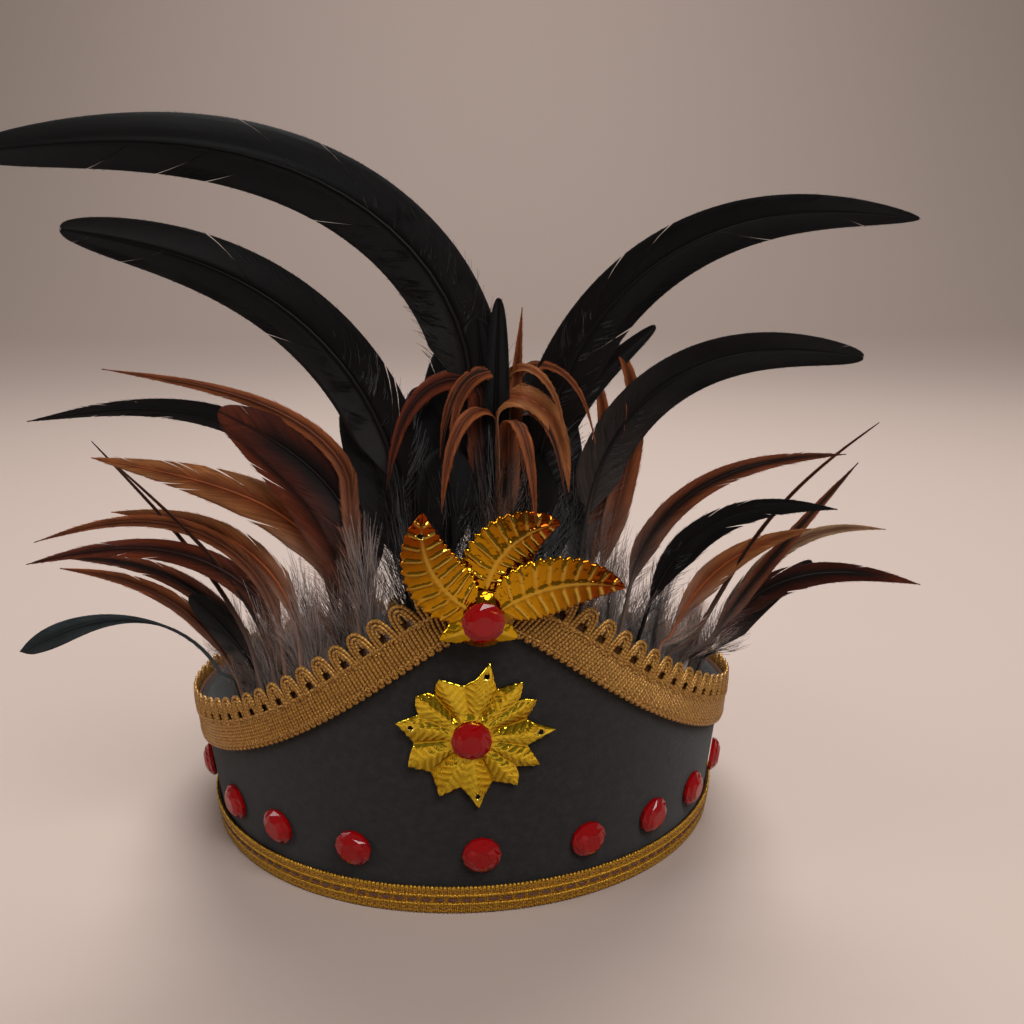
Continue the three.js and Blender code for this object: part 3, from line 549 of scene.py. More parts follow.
def sweep_tree():
    """Geometry nodes that sweep a round section along every path and let it wander a little."""
    tree = bpy.data.node_groups.new("swept_strands", "GeometryNodeTree")
    kinds = {"Geometry": "Geometry", "Sides": "Int", "Wander Size": "Float", "Seed": "Int",
             "Material": "Material"}
    for name, kind in kinds.items():
        tree.interface.new_socket(name, in_out="INPUT", socket_type="NodeSocket" + kind)
    tree.interface.new_socket("Geometry", in_out="OUTPUT", socket_type="NodeSocketGeometry")
    given = add(tree, "NodeGroupInput").outputs
    wave = add(tree, "GeometryNodeInputNamedAttribute", {"Name": "wave"}, data_type="FLOAT")
    thick = add(tree, "GeometryNodeInputNamedAttribute", {"Name": "thickness"}, data_type="FLOAT")
    grain = add(tree, "ShaderNodeMath", {0: 1.0, 1: given["Wander Size"]}, operation="DIVIDE")
    field = add(tree, "ShaderNodeTexNoise", {"W": given["Seed"], "Scale": grain, "Detail": 1},
                noise_dimensions="4D").outputs["Color"]
    middle = add(tree, "ShaderNodeVectorMath", {0: field, 1: (0.5, 0.5, 0.5)}, operation="SUBTRACT")
    offset = add(tree, "ShaderNodeVectorMath", {0: middle, "Scale": wave}, operation="SCALE")
    moved = add(tree, "GeometryNodeSetPosition", {"Geometry": given["Geometry"], "Offset": offset})
    paths = add(tree, "GeometryNodeMeshToCurve", {"Mesh": moved})
    along = add(tree, "GeometryNodeSplineParameter").outputs
    measured = add(tree, "GeometryNodeStoreNamedAttribute",
                   {"Geometry": paths, "Name": "run", "Value": along["Length"]}, data_type="FLOAT")
    ring = add(tree, "GeometryNodeCurvePrimitiveCircle", {"Resolution": given["Sides"], "Radius": 1.0})
    section = add(tree, "GeometryNodeStoreNamedAttribute",
                  {"Geometry": ring, "Name": "around", "Value": along["Factor"]}, data_type="FLOAT")
    tube = add(tree, "GeometryNodeCurveToMesh",
               {"Curve": measured, "Profile Curve": section, "Scale": thick, "Fill Caps": True})
    real = add(tree, "GeometryNodeRealizeInstances", {"Geometry": tube})
    done = add(tree, "GeometryNodeSetMaterial", {"Geometry": real, "Material": given["Material"]})
    add(tree, "NodeGroupOutput", {"Geometry": done})
    return tree


SWEEP = sweep_tree()


def swept(name, strands, sides, material, wander=6.0, seed=1):
    """The strands as one plain mesh object."""
    guide = strands.guide(name)
    bpy.context.scene.collection.objects.link(guide)
    modifier = guide.modifiers.new("sweep", "NODES")
    modifier.node_group = SWEEP
    values = {"Sides": sides, "Wander Size": wander * MM, "Seed": seed, "Material": material}
    for item in SWEEP.interface.items_tree:
        if item.in_out == "INPUT" and item.name in values:
            modifier[item.identifier] = values[item.name]
    bpy.context.view_layer.update()
    graph = bpy.context.evaluated_depsgraph_get()
    mesh = bpy.data.meshes.new_from_object(guide.evaluated_get(graph))
    guide.modifiers.clear()
    guide.data = mesh
    mesh.name = name
    mesh.polygons.foreach_set("use_smooth", [True] * len(mesh.polygons))
    return guide


def finished(piece, slot, *nodes):
    """Ties a piece to the frame's body and hides the nodes that it stands for; the slot is not used."""
    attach(piece, "root")
    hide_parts(*nodes)
    return piece


# The felt band and the stones

def make_band(felt):
    """A sheet of felt bent round and joined, with softly rounded edges."""
    rings = []
    for azimuth in np.linspace(0, TAU, BAND_COLUMNS, endpoint=False):
        height = edge_height(azimuth)
        levels = np.linspace(0.5, height - 0.5, BAND_ROWS)
        section = [(0, FELT_EDGE)] + [(z, 0) for z in levels] + [(height, FELT_EDGE)]
        section += [(height, FELT - FELT_EDGE)] + [(z, FELT) for z in levels[::-1]] + [(0, FELT - FELT_EDGE)]
        section = np.array(section)
        rings.append(wall_point(np.full(len(section), azimuth), section[:, 0], section[:, 1] - FELT))
    points, faces = skin(rings, True)
    return make_object("felt_band", points, faces, [felt])


def seat(azimuth_degrees, height, offset):
    """The matrix that sets x round the wall, y up it and z out of it, in millimetres."""
    azimuth = math.radians(azimuth_degrees)
    across = Vector((math.cos(azimuth), math.sin(azimuth), 0))
    up = Vector((FLARE * math.sin(azimuth), -FLARE * math.cos(azimuth), 1)).normalized()
    out = across.cross(up)
    spot = Vector(wall_point(np.float64(azimuth), height, 0)) + out * offset
    return np.array(Matrix((across, up, out)).transposed()), np.array(spot)


def seated(points, turn, spot):
    return np.asarray(points, float) @ turn.T + spot


def stone_mesh(azimuth, height, offset):
    """A flat-backed stone, two rows of facets and a table, and the backing inside it."""
    radius = STONE["radius"]
    rings = []
    for reach, rise, turn in STONE_ROWS:
        angle = (np.arange(STONE["sides"]) + turn) * TAU / STONE["sides"]
        far = radius * reach
        rings.append(np.stack([far * np.cos(angle), far * np.sin(angle), rise + 0 * angle], -1))
    points, faces = skin(rings, False)
    split = []
    for face in faces:
        split += [(face[0], face[1], face[2]), (face[0], face[2], face[3])] if len(face) == 4 else [face]
    reach = radius * BACKING["share"]
    disc = [np.stack([reach * np.cos(angle), reach * np.sin(angle), z + 0 * angle], -1)
            for z in (BACKING["from"], BACKING["to"])]
    inner, inner_faces = skin(disc, False)
    turn, spot = seat(azimuth, height, offset)
    return seated(points, turn, spot), split, seated(inner, turn, spot), inner_faces


def make_stone(name, azimuth, height, offset, acrylic, backing):
    points, faces, inner, inner_faces = stone_mesh(azimuth, height, offset)
    backed = faces + [tuple(len(points) + i for i in face) for face in inner_faces]
    piece = make_object(name, np.concatenate([points, inner]), backed, [acrylic, backing], rounded=False)
    for polygon in piece.data.polygons:
        polygon.material_index = 0 if polygon.index < len(faces) else 1
    return piece


# Braids

class BraidPath:
    """Finds points of the upper braid by distance along its foot and rise above it."""

    def __init__(self):
        self.around = HEAD_RADIUS + FELT + FLARE * SIDE_HEIGHT
        self.x = np.linspace(0, TAU * self.around, 2881)
        y = edge_height(self.x / self.around) - UPPER_BRAID["drop"]
        self.lengths = np.concatenate([[0], np.cumsum(np.hypot(np.diff(self.x), np.diff(y)))])
        self.total = self.lengths[-1]

    def place(self, distance, rise, offset):
        x = np.interp(np.mod(distance, self.total), self.lengths, self.x)
        y = edge_height(x / self.around) - UPPER_BRAID["drop"]
        slope = (edge_height((x + 1) / self.around) - edge_height((x - 1) / self.around)) / 2
        ahead = np.stack([1 / np.hypot(1, slope), slope / np.hypot(1, slope)], -1)
        return wall_point((x - ahead[..., 1] * rise) / self.around, y + ahead[..., 0] * rise, offset)


def make_upper_braid(gimp, shaded_ground_gimp):
    """Looped gimp: close cords with picots at the foot, a plaited heading and double scallop loops."""
    path = BraidPath()
    size = UPPER_BRAID
    cord, header, picot = size["cord"], size["header"], size["picot"]
    high = GAP + size["thickness"] - cord
    gold = Strands()
    plain = np.ones(3)
    pairs = int(round(path.total / (2 * size["pitch"])))
    pitch = path.total / (2 * pairs)
    start = np.arange(pairs)[:, None] * 2 * pitch
    turn = pitch / 2
    shape = np.array([(0, header), (0, header * 0.6), (0, picot), (0.25 * turn, 0.55), (turn, 0.25),
                      (1.75 * turn, 0.55), (2 * turn, picot), (2 * turn, header * 0.6), (2 * turn, header)])
    lift = np.array([-0.5, 0, 0.1, 0, -0.1, 0, 0.1, 0, -0.5]) * 0.5
    lean = size["slant"] * shape[:, 1] / header
    slanted = path.place(start + shape[None, :, 0] + lean[None], shape[None, :, 1] + 0 * start,
                         high + lift[None])
    gold.add(slanted, cord, plain)
    count = int(round(path.total / size["scallop"]))
    step = path.total / count
    middle = (np.arange(count)[:, None] + 0.5) * step
    angle = np.linspace(math.pi, 0, SCALLOP_POINTS)
    for half, low, top, thick, depth in SCALLOP_CORDS:
        bow = np.sign(np.cos(angle)) * np.abs(np.cos(angle)) ** 0.75 * half
        rise = low + (top - low) * np.sin(angle) ** 0.75
        back = high + depth + 0.25 * np.cos(2 * angle)
        looped = path.place(middle + bow[None], rise[None] + 0 * middle, back[None] + 0 * middle)
        gold.add(looped, thick, plain)
    ring = np.linspace(0, path.total, size["ring_points"], endpoint=False)
    for rise, sway, phase in ((header + 0.1, 0.35, 0), (header + 0.1, 0.35, math.pi), (1.9, 0.15, 0)):
        twist = TAU * ring / size["twist"] + phase
        plait = path.place(ring, rise + sway * np.sin(twist), high + 0.28 + 0.2 * np.cos(twist))
        gold.add([plait], cord * PLY, plain, ring=True)
    finished(swept("upper_braid_cords", gold, 5, gimp, seed=3), "upper_braid", "upper_braid")
    # The ground behind the cords is painted with the darker gimp: painted shade between the cords.
    section = [(GAP, 0.9), (GAP, 12.9), (GAP + 0.7, 12.9), (GAP + 0.7, 0.9)]
    rings = [[path.place(s, rise, offset) for offset, rise in section]
             for s in np.linspace(0, path.total, 900, endpoint=False)]
    points, faces = skin(rings, True)
    finished(make_object("upper_braid_ground", points, faces, [shaded_ground_gimp]), "upper_braid", "upper_braid")


def make_lower_braid(gold_yarn, shaded_ground_gimp, thread):
    """Woven braid: a serpentine cord with picots on both edges, two raised cords and dashes between."""
    size = LOWER_BRAID
    cord, tall, picot = size["cord"], size["height"], size["picot"]
    high = GAP + size["thickness"] - cord
    radius = HEAD_RADIUS + FELT
    around = TAU * radius
    count = int(round(around / size["pitch"]))
    wave = np.array([(0, picot), (0, tall / 2), (0, tall - picot), (0.1, tall - 0.55), (0.25, tall - cord),
                     (0.4, tall - 0.55), (0.5, tall - picot), (0.5, tall / 2), (0.5, picot), (0.6, 0.6),
                     (0.75, cord), (0.9, 0.6)])
    lift = np.array([0, -0.45, 0, 0, 0, 0, 0, -0.45, 0, 0, 0, 0])
    azimuth = (np.arange(count)[:, None] + wave[None, :, 0]) * TAU / count
    flat = 0 * azimuth
    strands = Strands()
    serpent = wall_point(azimuth, wave[None, :, 1] + flat, high + lift[None] + flat)
    strands.add([serpent.reshape(-1, 3)], cord, np.ones(3), ring=True)
    turn = np.linspace(0, TAU, size["ring_points"], endpoint=False)
    for phase in (0, math.pi):
        for side in (-1, 1):
            twist = around * turn / size["twist"] + phase
            rail = tall / 2 + side * size["rails"] + 0.22 * np.sin(twist)
            strands.add([wall_point(turn, rail, high + 0.16 + 0.16 * np.cos(twist))], cord * PLY, np.ones(3),
                        ring=True)
    finished(swept("lower_braid_cords", strands, 4, gold_yarn, seed=4), "lower_braid", "lower_braid")
    # The ground under the cords is painted with the darker gimp: painted shade between the cords.
    edge, back = 0.7, 0.95
    section = np.array([(edge, GAP), (tall - edge, GAP), (tall - edge, GAP + back), (edge, GAP + back)])
    rings = [wall_point(np.full(4, a), section[:, 0], section[:, 1])
             for a in np.linspace(0, TAU, 480, endpoint=False)]
    points, faces = skin(rings, True)
    finished(make_object("lower_braid_ground", points, faces, [shaded_ground_gimp]), "lower_braid", "lower_braid")
    marks = Strands()
    dashes = int(round(around / size["dash_pitch"]))
    middle = np.arange(dashes)[:, None] * TAU / dashes
    place = middle + np.linspace(-0.5, 0.5, 5)[None] * size["dash"] / radius
    bow = high + 0.02 + 0.3 * np.cos(np.linspace(-math.pi / 2, math.pi / 2, 5))[None]
    marks.add(wall_point(place, tall / 2 + 0 * place, bow + 0 * middle), size["dash_radius"], np.ones(3))
    dots = int(round(around / size["dot_pitch"]))
    middle = np.arange(dots)[:, None] * TAU / dots
    place = middle + np.linspace(-0.3, 0.3, 3)[None] / radius
    bow = high + cord - 0.1 + np.array([-0.2, 0, -0.2])[None]
    for level in (tall / 2 - size["dots"], tall / 2 + size["dots"]):
        marks.add(wall_point(place, level + 0 * place, bow + 0 * middle), size["dot_radius"], np.ones(3))
    finished(swept("lower_braid_stitches", marks, 5, thread, seed=5), "lower_braid", "lower_braid")


# Foil ornaments

def cut_holes(piece, centers, turn, spot):
    """Punches round holes through a plate."""
    angle = np.arange(16) * TAU / 16
    for x, y in centers:
        edge = x + HOLE_RADIUS * np.cos(angle), y + HOLE_RADIUS * np.sin(angle)
        rings = [np.stack([*edge, z + 0 * angle], -1) for z in (-6, 8)]
        points, faces = skin(rings, False)
        punch = make_object("punch", seated(points, turn, spot), faces, list(piece.data.materials))
        cut = piece.modifiers.new("cut", "BOOLEAN")
        cut.operation = "DIFFERENCE"
        cut.object = punch
        graph = bpy.context.evaluated_depsgraph_get()
        mesh = bpy.data.meshes.new_from_object(piece.evaluated_get(graph))
        piece.modifiers.clear()
        piece.data = mesh
        bpy.data.objects.remove(punch)
    layer = piece.data.attributes["shade"].data
    shade = np.empty(len(layer) * 4)
    layer.foreach_get("color", shade)
    shade = shade.reshape(-1, 4)
    shade[:, :3] = np.clip(shade[:, :3], tone("#843406"), tone("#f0d060"))
    layer.foreach_set("color", shade.ravel())
    return piece


def make_sunflower(foil):
    """A stamped plate: a raised disc and twelve pointed petals with a midrib and chevron veins."""
    size = SUNFLOWER
    spokes = []
    for i, petal in enumerate(PETALS):
        before = PETALS[i - 1]["turn"] - (360 if i == 0 else 0)
        after = PETALS[(i + 1) % 12]["turn"] + (360 if i == 11 else 0)
        for sign, other in ((-1, before), (1, after)):
            reach = abs(other - petal["turn"]) / 2
            knots = np.array([0, size["shoulder_turn"], reach])
            radii = 1 / np.array([petal["length"], size["shoulder"], size["valley"]])
            shares = np.linspace(0, 1, SUNFLOWER_COLUMNS + 1)
            for away in (shares[::-1][:-1] if sign < 0 else shares[:-1]) * reach:
                edge = 1 / np.interp(away, knots, radii)
                spokes.append((petal["turn"] + sign * away, edge, petal["length"], reach, away,
                               sign * math.sin(2.4 * i)))
    turn, edge, length, reach, away, twist = np.array(spokes).T[:, None]
    turn = np.radians(turn)
    share = (np.linspace(0.02, 1, SUNFLOWER_ROWS) ** 0.9)[:, None]
    r = share * edge
    narrow = np.clip((length - r) / (length - size["valley"]), 0, 1)
    limit = np.where(r > size["valley"], np.maximum(reach * narrow ** 0.8, 0.4), reach)
    cross = np.clip(away / limit, 0, 1)
    outside = smooth(size["disc"] - 0.8, size["disc"] + 1.2, r)
    along = np.clip((r - 6) / (length - 6), 0, 1)
    rib = size["ridge"] * (1 - cross) ** 0.8 * (0.55 + 0.45 * np.sin(np.pi * along))
    veins = size["vein_depth"] * np.sin(TAU * (r - 3.2 * cross) / size["vein_pitch"])
    veins = veins * outside * (1 - cross ** 6)
    lift = size["tip_lift"] * np.clip((r - size["valley"]) / (length - size["valley"]), 0, 1) ** 2
    height = size["rise"] * (1 - outside) + outside * np.maximum(rib, lift) + veins
    height += (size["twist"] * twist * cross - 0.25 * np.exp(-(cross / 0.1) ** 2)) * outside
    x, y = r * np.sin(turn), r * np.cos(turn)
    bend = size["wrap"] / (2 * (HEAD_RADIUS + FELT))
    top = np.stack([x, y, FOIL + height - bend * x * x], -1)
    under = top - np.array([0, 0, FOIL * 0.7])
    # Painted highlight and painted shade: the tint is lighter on the vein crests, along the midrib and on
    # petals twisted one way, and darker in the vein troughs and on petals twisted the other way.
    light = np.clip(0.4 + veins * 1.5 + 0.35 * (1 - cross) + 0.25 * twist, 0, 1)
    tint = mix(tone("#a87a0c"), tone("#f6d23c"), light)
    points, faces, shade = grid_plate(top[:, ::-1], under[:, ::-1], True, tint[:, ::-1])
    frame_turn, spot = seat(size["azimuth"], size["height"], GAP)
    piece = make_object("sunflower_foil", seated(points, frame_turn, spot), faces, [foil])
    paint(piece, shade)
    centers = [((p["length"] - size["hole_inset"]) * math.sin(math.radians(p["turn"])),
                (p["length"] - size["hole_inset"]) * math.cos(math.radians(p["turn"])))
               for p in PETALS if p["hole"]]
    return cut_holes(piece, centers, frame_turn, spot)


def leaf_sheet(row, small=False):
    """One serrated leaf with a midrib and raised bars; points by stations and columns."""
    stations, columns = (28, 9) if small else (150, 19)
    teeth = 4 if small else LEAF["teeth"]
    relief = 0 if small else 1
    share = np.linspace(0.001, 0.995, stations)
    heading = np.radians(row["start"] + (row["end"] - row["start"]) * share)
    ahead = np.stack([np.sin(heading), np.cos(heading)], -1)
    spine = np.array([row["x"], row["y"]]) + np.cumsum(ahead * row["length"] / stations, 0)
    peak = LEAF["rise"] / (LEAF["rise"] + LEAF["fall"])
    full = peak ** LEAF["rise"] * (1 - peak) ** LEAF["fall"]
    half = row["width"] / 2 * share ** LEAF["rise"] * (1 - share) ** LEAF["fall"] / full
    tooth = np.mod(share * teeth, 1)
    saw = np.where(tooth < 0.75, tooth / 0.75, (1 - tooth) / 0.25) * 2 - 1
    side = half * (1 + LEAF["tooth"] * saw)
    c = np.linspace(-1, 1, columns)[None]
    off = np.abs(c)
    rib = np.minimum(LEAF["ridge"], half * LEAF["rib_share"])[:, None]
    lift = FOIL + row["curl"] * (share ** 2)[:, None]
    phase = share[:, None] * LEAF["bars"] - 0.55 * off
    bars = (smooth(0.25, 0.95, np.sin(TAU * phase)) - 0.15) * smooth(0.08, 0.25, off) * smooth(1, 0.75, off)
    bars = bars * smooth(0.02, 0.12, share)[:, None] * smooth(1, 0.9, share)[:, None] * relief
    stem = 0.35 * np.exp(-(c / 0.07) ** 2) - 0.3 * np.exp(-((off - 0.18) / 0.06) ** 2)
    z = lift + rib * (1 - off) * 0.9 + stem * relief + LEAF["bar_depth"] * bars
    x = spine[:, :1] - ahead[:, 1:] * side[:, None] * c
    y = spine[:, 1:] + ahead[:, :1] * side[:, None] * c
    top = np.stack([x, y, z], -1)
    gold, deep, pale = [tone(color) for color in ("#c88e14", "#743006", "#dcba50")]
    if small:
        gold = deep = tone("#cfa01a")
    tint = mix(gold, deep, np.broadcast_to(smooth(0.1, 0.9, share)[:, None], bars.shape))
    # Painted highlight: the raised bars turn pale, more on the side where c is below 0, and the raised midrib
    # turns pale, fading out towards the tip.
    tint = mix(tint, pale, np.clip(bars, 0, 1) * np.where(c < 0, 0.85, 0.45))
    tint = mix(tint, pale, 0.5 * np.exp(-(c / 0.07) ** 2) * smooth(1, 0.6, share)[:, None])
    return grid_plate(top, top - np.array([0, 0, FOIL * 0.7]), False, tint)


def leaf_hole(row):
    """The middle of the hole near a leaf's tip."""
    share = np.linspace(0, 1, 41)[:int(40 * row["hole"])]
    heading = np.radians(row["start"] + (row["end"] - row["start"]) * share)
    step = row["length"] / 40
    return row["x"] + np.sin(heading).sum() * step, row["y"] + np.cos(heading).sum() * step


def make_leaves(name, rows, offset, foil):
    """One foil piece: its leaves, on a low domed disc unless a leaf is pierced."""
    angle = np.arange(32) * TAU / 32
    disc = [np.stack([radius * np.cos(angle), radius * np.sin(angle), z + 0 * angle], -1)
            for radius, z in ((LEAF["disc"], 0), (LEAF["disc"], FOIL), (2, FOIL + LEAF["dome"]))]
    pierced = any(row["hole"] for row in rows)
    points, faces = (np.zeros((0, 3)), []) if pierced else skin(disc, False)
    # Painted shade: the domed disc under the stone gets a darker amber than the leaves, which dims its
    # reflection.
    shades = [np.tile(tone("#8c5c0e"), (len(points), 1))]
    points = [points]
    for row in rows:
        more, more_faces, shade = leaf_sheet(row, row["length"] < SMALL_LEAF)
        shift = sum(len(p) for p in points)
        faces += [tuple(shift + i for i in face) for face in more_faces]
        points.append(more)
        shades.append(shade)
    turn, spot = seat(LEAF_SEAT["azimuth"], LEAF_SEAT["height"], offset)
    piece = turned_out(make_object(name, seated(np.concatenate(points), turn, spot), faces, [foil]))
    paint(piece, np.concatenate(shades))
    return cut_holes(piece, [leaf_hole(row) for row in rows if row["hole"]], turn, spot)


# Feathers

def kept_inside(points):
    """Moves points towards the middle of the head opening until the wall and its braid are clear."""
    azimuth = np.arctan2(points[..., 0], -points[..., 1])
    over = np.maximum(0, points[..., 2] - edge_height(azimuth) - RIM["above"])
    limit = HEAD_RADIUS + FLARE * points[..., 2] - GAP - RIM["clear"] + over * RIM["opening"]
    radius = np.hypot(points[..., 0], points[..., 1])
    scale = np.minimum(1, limit / radius)
    return np.stack([points[..., 0] * scale, points[..., 1] * scale, points[..., 2]], -1)


class Quill:
    """The curve of one feather: its point, direction and sides at any share of its length."""

    STEPS = 240

    def __init__(self, row):
        self.row = row
        share = np.linspace(0, 1, self.STEPS + 1)
        curve = np.maximum(0, (share - row["straight"]) / (1 - row["straight"])) ** row["bend"]
        angle = np.radians(row["lean"] + (row["tip"] - row["lean"]) * np.sin(np.pi / 2 * curve))
        heading = math.radians(row["heading"])
        away = np.array([math.sin(heading), -math.cos(heading), 0])
        up = np.array([0, 0, 1])
        out = np.cross(up, away)
        roll = math.radians(row["roll"])
        self.share = share
        self.ahead = np.sin(angle)[:, None] * away + np.cos(angle)[:, None] * up
        in_plane = np.cos(angle)[:, None] * away - np.sin(angle)[:, None] * up
        self.side = in_plane * math.cos(roll) + out * math.sin(roll)
        self.face = np.cross(self.ahead, self.side)
        azimuth = math.radians(row["azimuth"])
        foot = edge_height(azimuth) - SINK
        start = wall_point(np.float64(azimuth), foot, -(FELT + GAP + STRIP["thickness"] / 2))
        middle = (self.ahead[1:] + self.ahead[:-1]) / 2
        self.spine = start + np.concatenate([[[0, 0, 0]], np.cumsum(middle, 0)]) * row["length"] / self.STEPS

    def at(self, share, across, depth):
        """Points at a share of the length, moved across the vane and out of its face."""
        inside = np.clip(share, 0, 1)
        parts = [np.stack([np.interp(inside, self.share, values[:, k]) for k in range(3)], -1)
                 for values in (self.spine, self.ahead, self.side, self.face)]
        spine, ahead, side, face = parts
        beyond = (share - inside) * self.row["length"]
        return spine + ahead * beyond[..., None] + side * across[..., None] + face * depth[..., None]


def half_width(row, share):
    """Half of the vane's width at a share of the feather's length."""
    vane = VANES[row["vane"]]
    bare = BARE_QUILL / row["length"]
    peak = vane["rise"] / (vane["rise"] + vane["fall"])
    full = peak ** vane["rise"] * (1 - peak) ** vane["fall"]
    grown = np.clip((share - bare) / (1 - bare), 0, 1)
    return np.maximum(row["width"] / 2 * grown ** vane["rise"] * (1 - grown) ** vane["fall"] / full, 0.15)


def coat_color(row, grown, across, rng):
    """Colour of barbs by how far along the feather and how far across the vane they are."""
    core, edge, end, fluff = [tone(color) for color in COATS[row["coat"]]]
    color = mix(core, edge, smooth(0.1, 0.8, across))
    color = mix(color, end, smooth(0.75, 1.0, grown) * 0.8)
    color = mix(color, fluff, smooth(VANES[row["vane"]]["loose"] * 1.5, 0.04, grown) * 0.85)
    return color * rng.uniform(0.85, 1.15, (len(grown), 1, 1))


def barb_lines(row, quill, sign, share, parting, t, stretch=1.0, spread=0.0, longest=60.0):
    """Curved barbs from the quill to the vane's edge: points by barb and share `t` of its length."""
    vane, length = VANES[row["vane"]], row["length"]
    steps = np.linspace(0, 1, BARB_STEPS + 1)
    root = np.radians(vane["root"]) + spread
    tip = np.radians(vane["tip"]) + spread * 0.7
    angle = root + (tip - root) * steps[None] + parting[:, None] * smooth(0.25, 0.85, steps)[None]
    middle = (angle[:, 1:] + angle[:, :-1]) / 2
    start = np.zeros((len(share), 1))
    along = np.concatenate([start, np.cumsum(np.cos(middle), 1)], 1) / BARB_STEPS
    across = np.concatenate([start, np.cumsum(np.sin(middle), 1)], 1) / BARB_STEPS
    low, high = np.zeros(len(share)), np.full(len(share), 60.0)
    for _ in range(24):
        size = (low + high) / 2
        over = size * across[:, -1] > half_width(row, share + size * along[:, -1] / length)
        low, high = np.where(over, low, size), np.where(over, size, high)
    size = np.minimum(low, (1.004 - share) * length / np.maximum(along[:, -1], 0.2)) * stretch
    size = np.minimum(size, longest)[:, None]
    picked = np.clip(t, 0, 1) * BARB_STEPS
    index = np.minimum(picked.astype(int), BARB_STEPS - 1)
    part = picked - index
    along = along[:, index] + (along[:, index + 1] - along[:, index]) * part
    across = across[:, index] + (across[:, index + 1] - across[:, index]) * part
    reach = size * across
    half = half_width(row, share)[:, None]
    depth = -CAMBER * np.minimum(reach, 1.2 * half) ** 2 / np.maximum(half, 1.5)
    return kept_inside(quill.at(share[:, None] + size * along / length, sign * reach, depth))


def parting_at(place, splits, sizes):
    """How far barbs lean towards or away from the tip beside each split of the vane."""
    away = (place[:, None] - splits[None]) / 5
    return -(sizes[None] * np.sign(away) * np.exp(-np.abs(away))).sum(1)


class Sheets:
    """Closed thin sheets, each made of rows of points, gathered into one mesh."""

    def __init__(self):
        self.points, self.faces, self.values = [], [], []
        self.count = 0

    def add(self, rows, normal, shade, barb, across):
        sides = [rows + normal * SHEET / 2, rows - normal * SHEET / 2]
        points, faces, colors = grid_plate(sides[0], sides[1], False, shade)
        self.faces += [tuple(self.count + i for i in face) for face in faces]
        self.points.append(points)
        marks = np.stack([barb + 0 * across, across + 0 * barb], -1).reshape(-1, 2)
        self.values.append(np.concatenate([colors, np.concatenate([marks] * 2)], 1))
        self.count += len(points)

    def build(self, name, material):
        piece = make_object(name, np.concatenate(self.points), self.faces, [material])
        values = np.concatenate(self.values)
        paint(piece, values[:, :3])
        for key, column in (("barb", 3), ("across", 4)):
            layer = piece.data.attributes.new(key, "FLOAT", "POINT")
            layer.data.foreach_set("value", values[:, column].copy())
        return piece


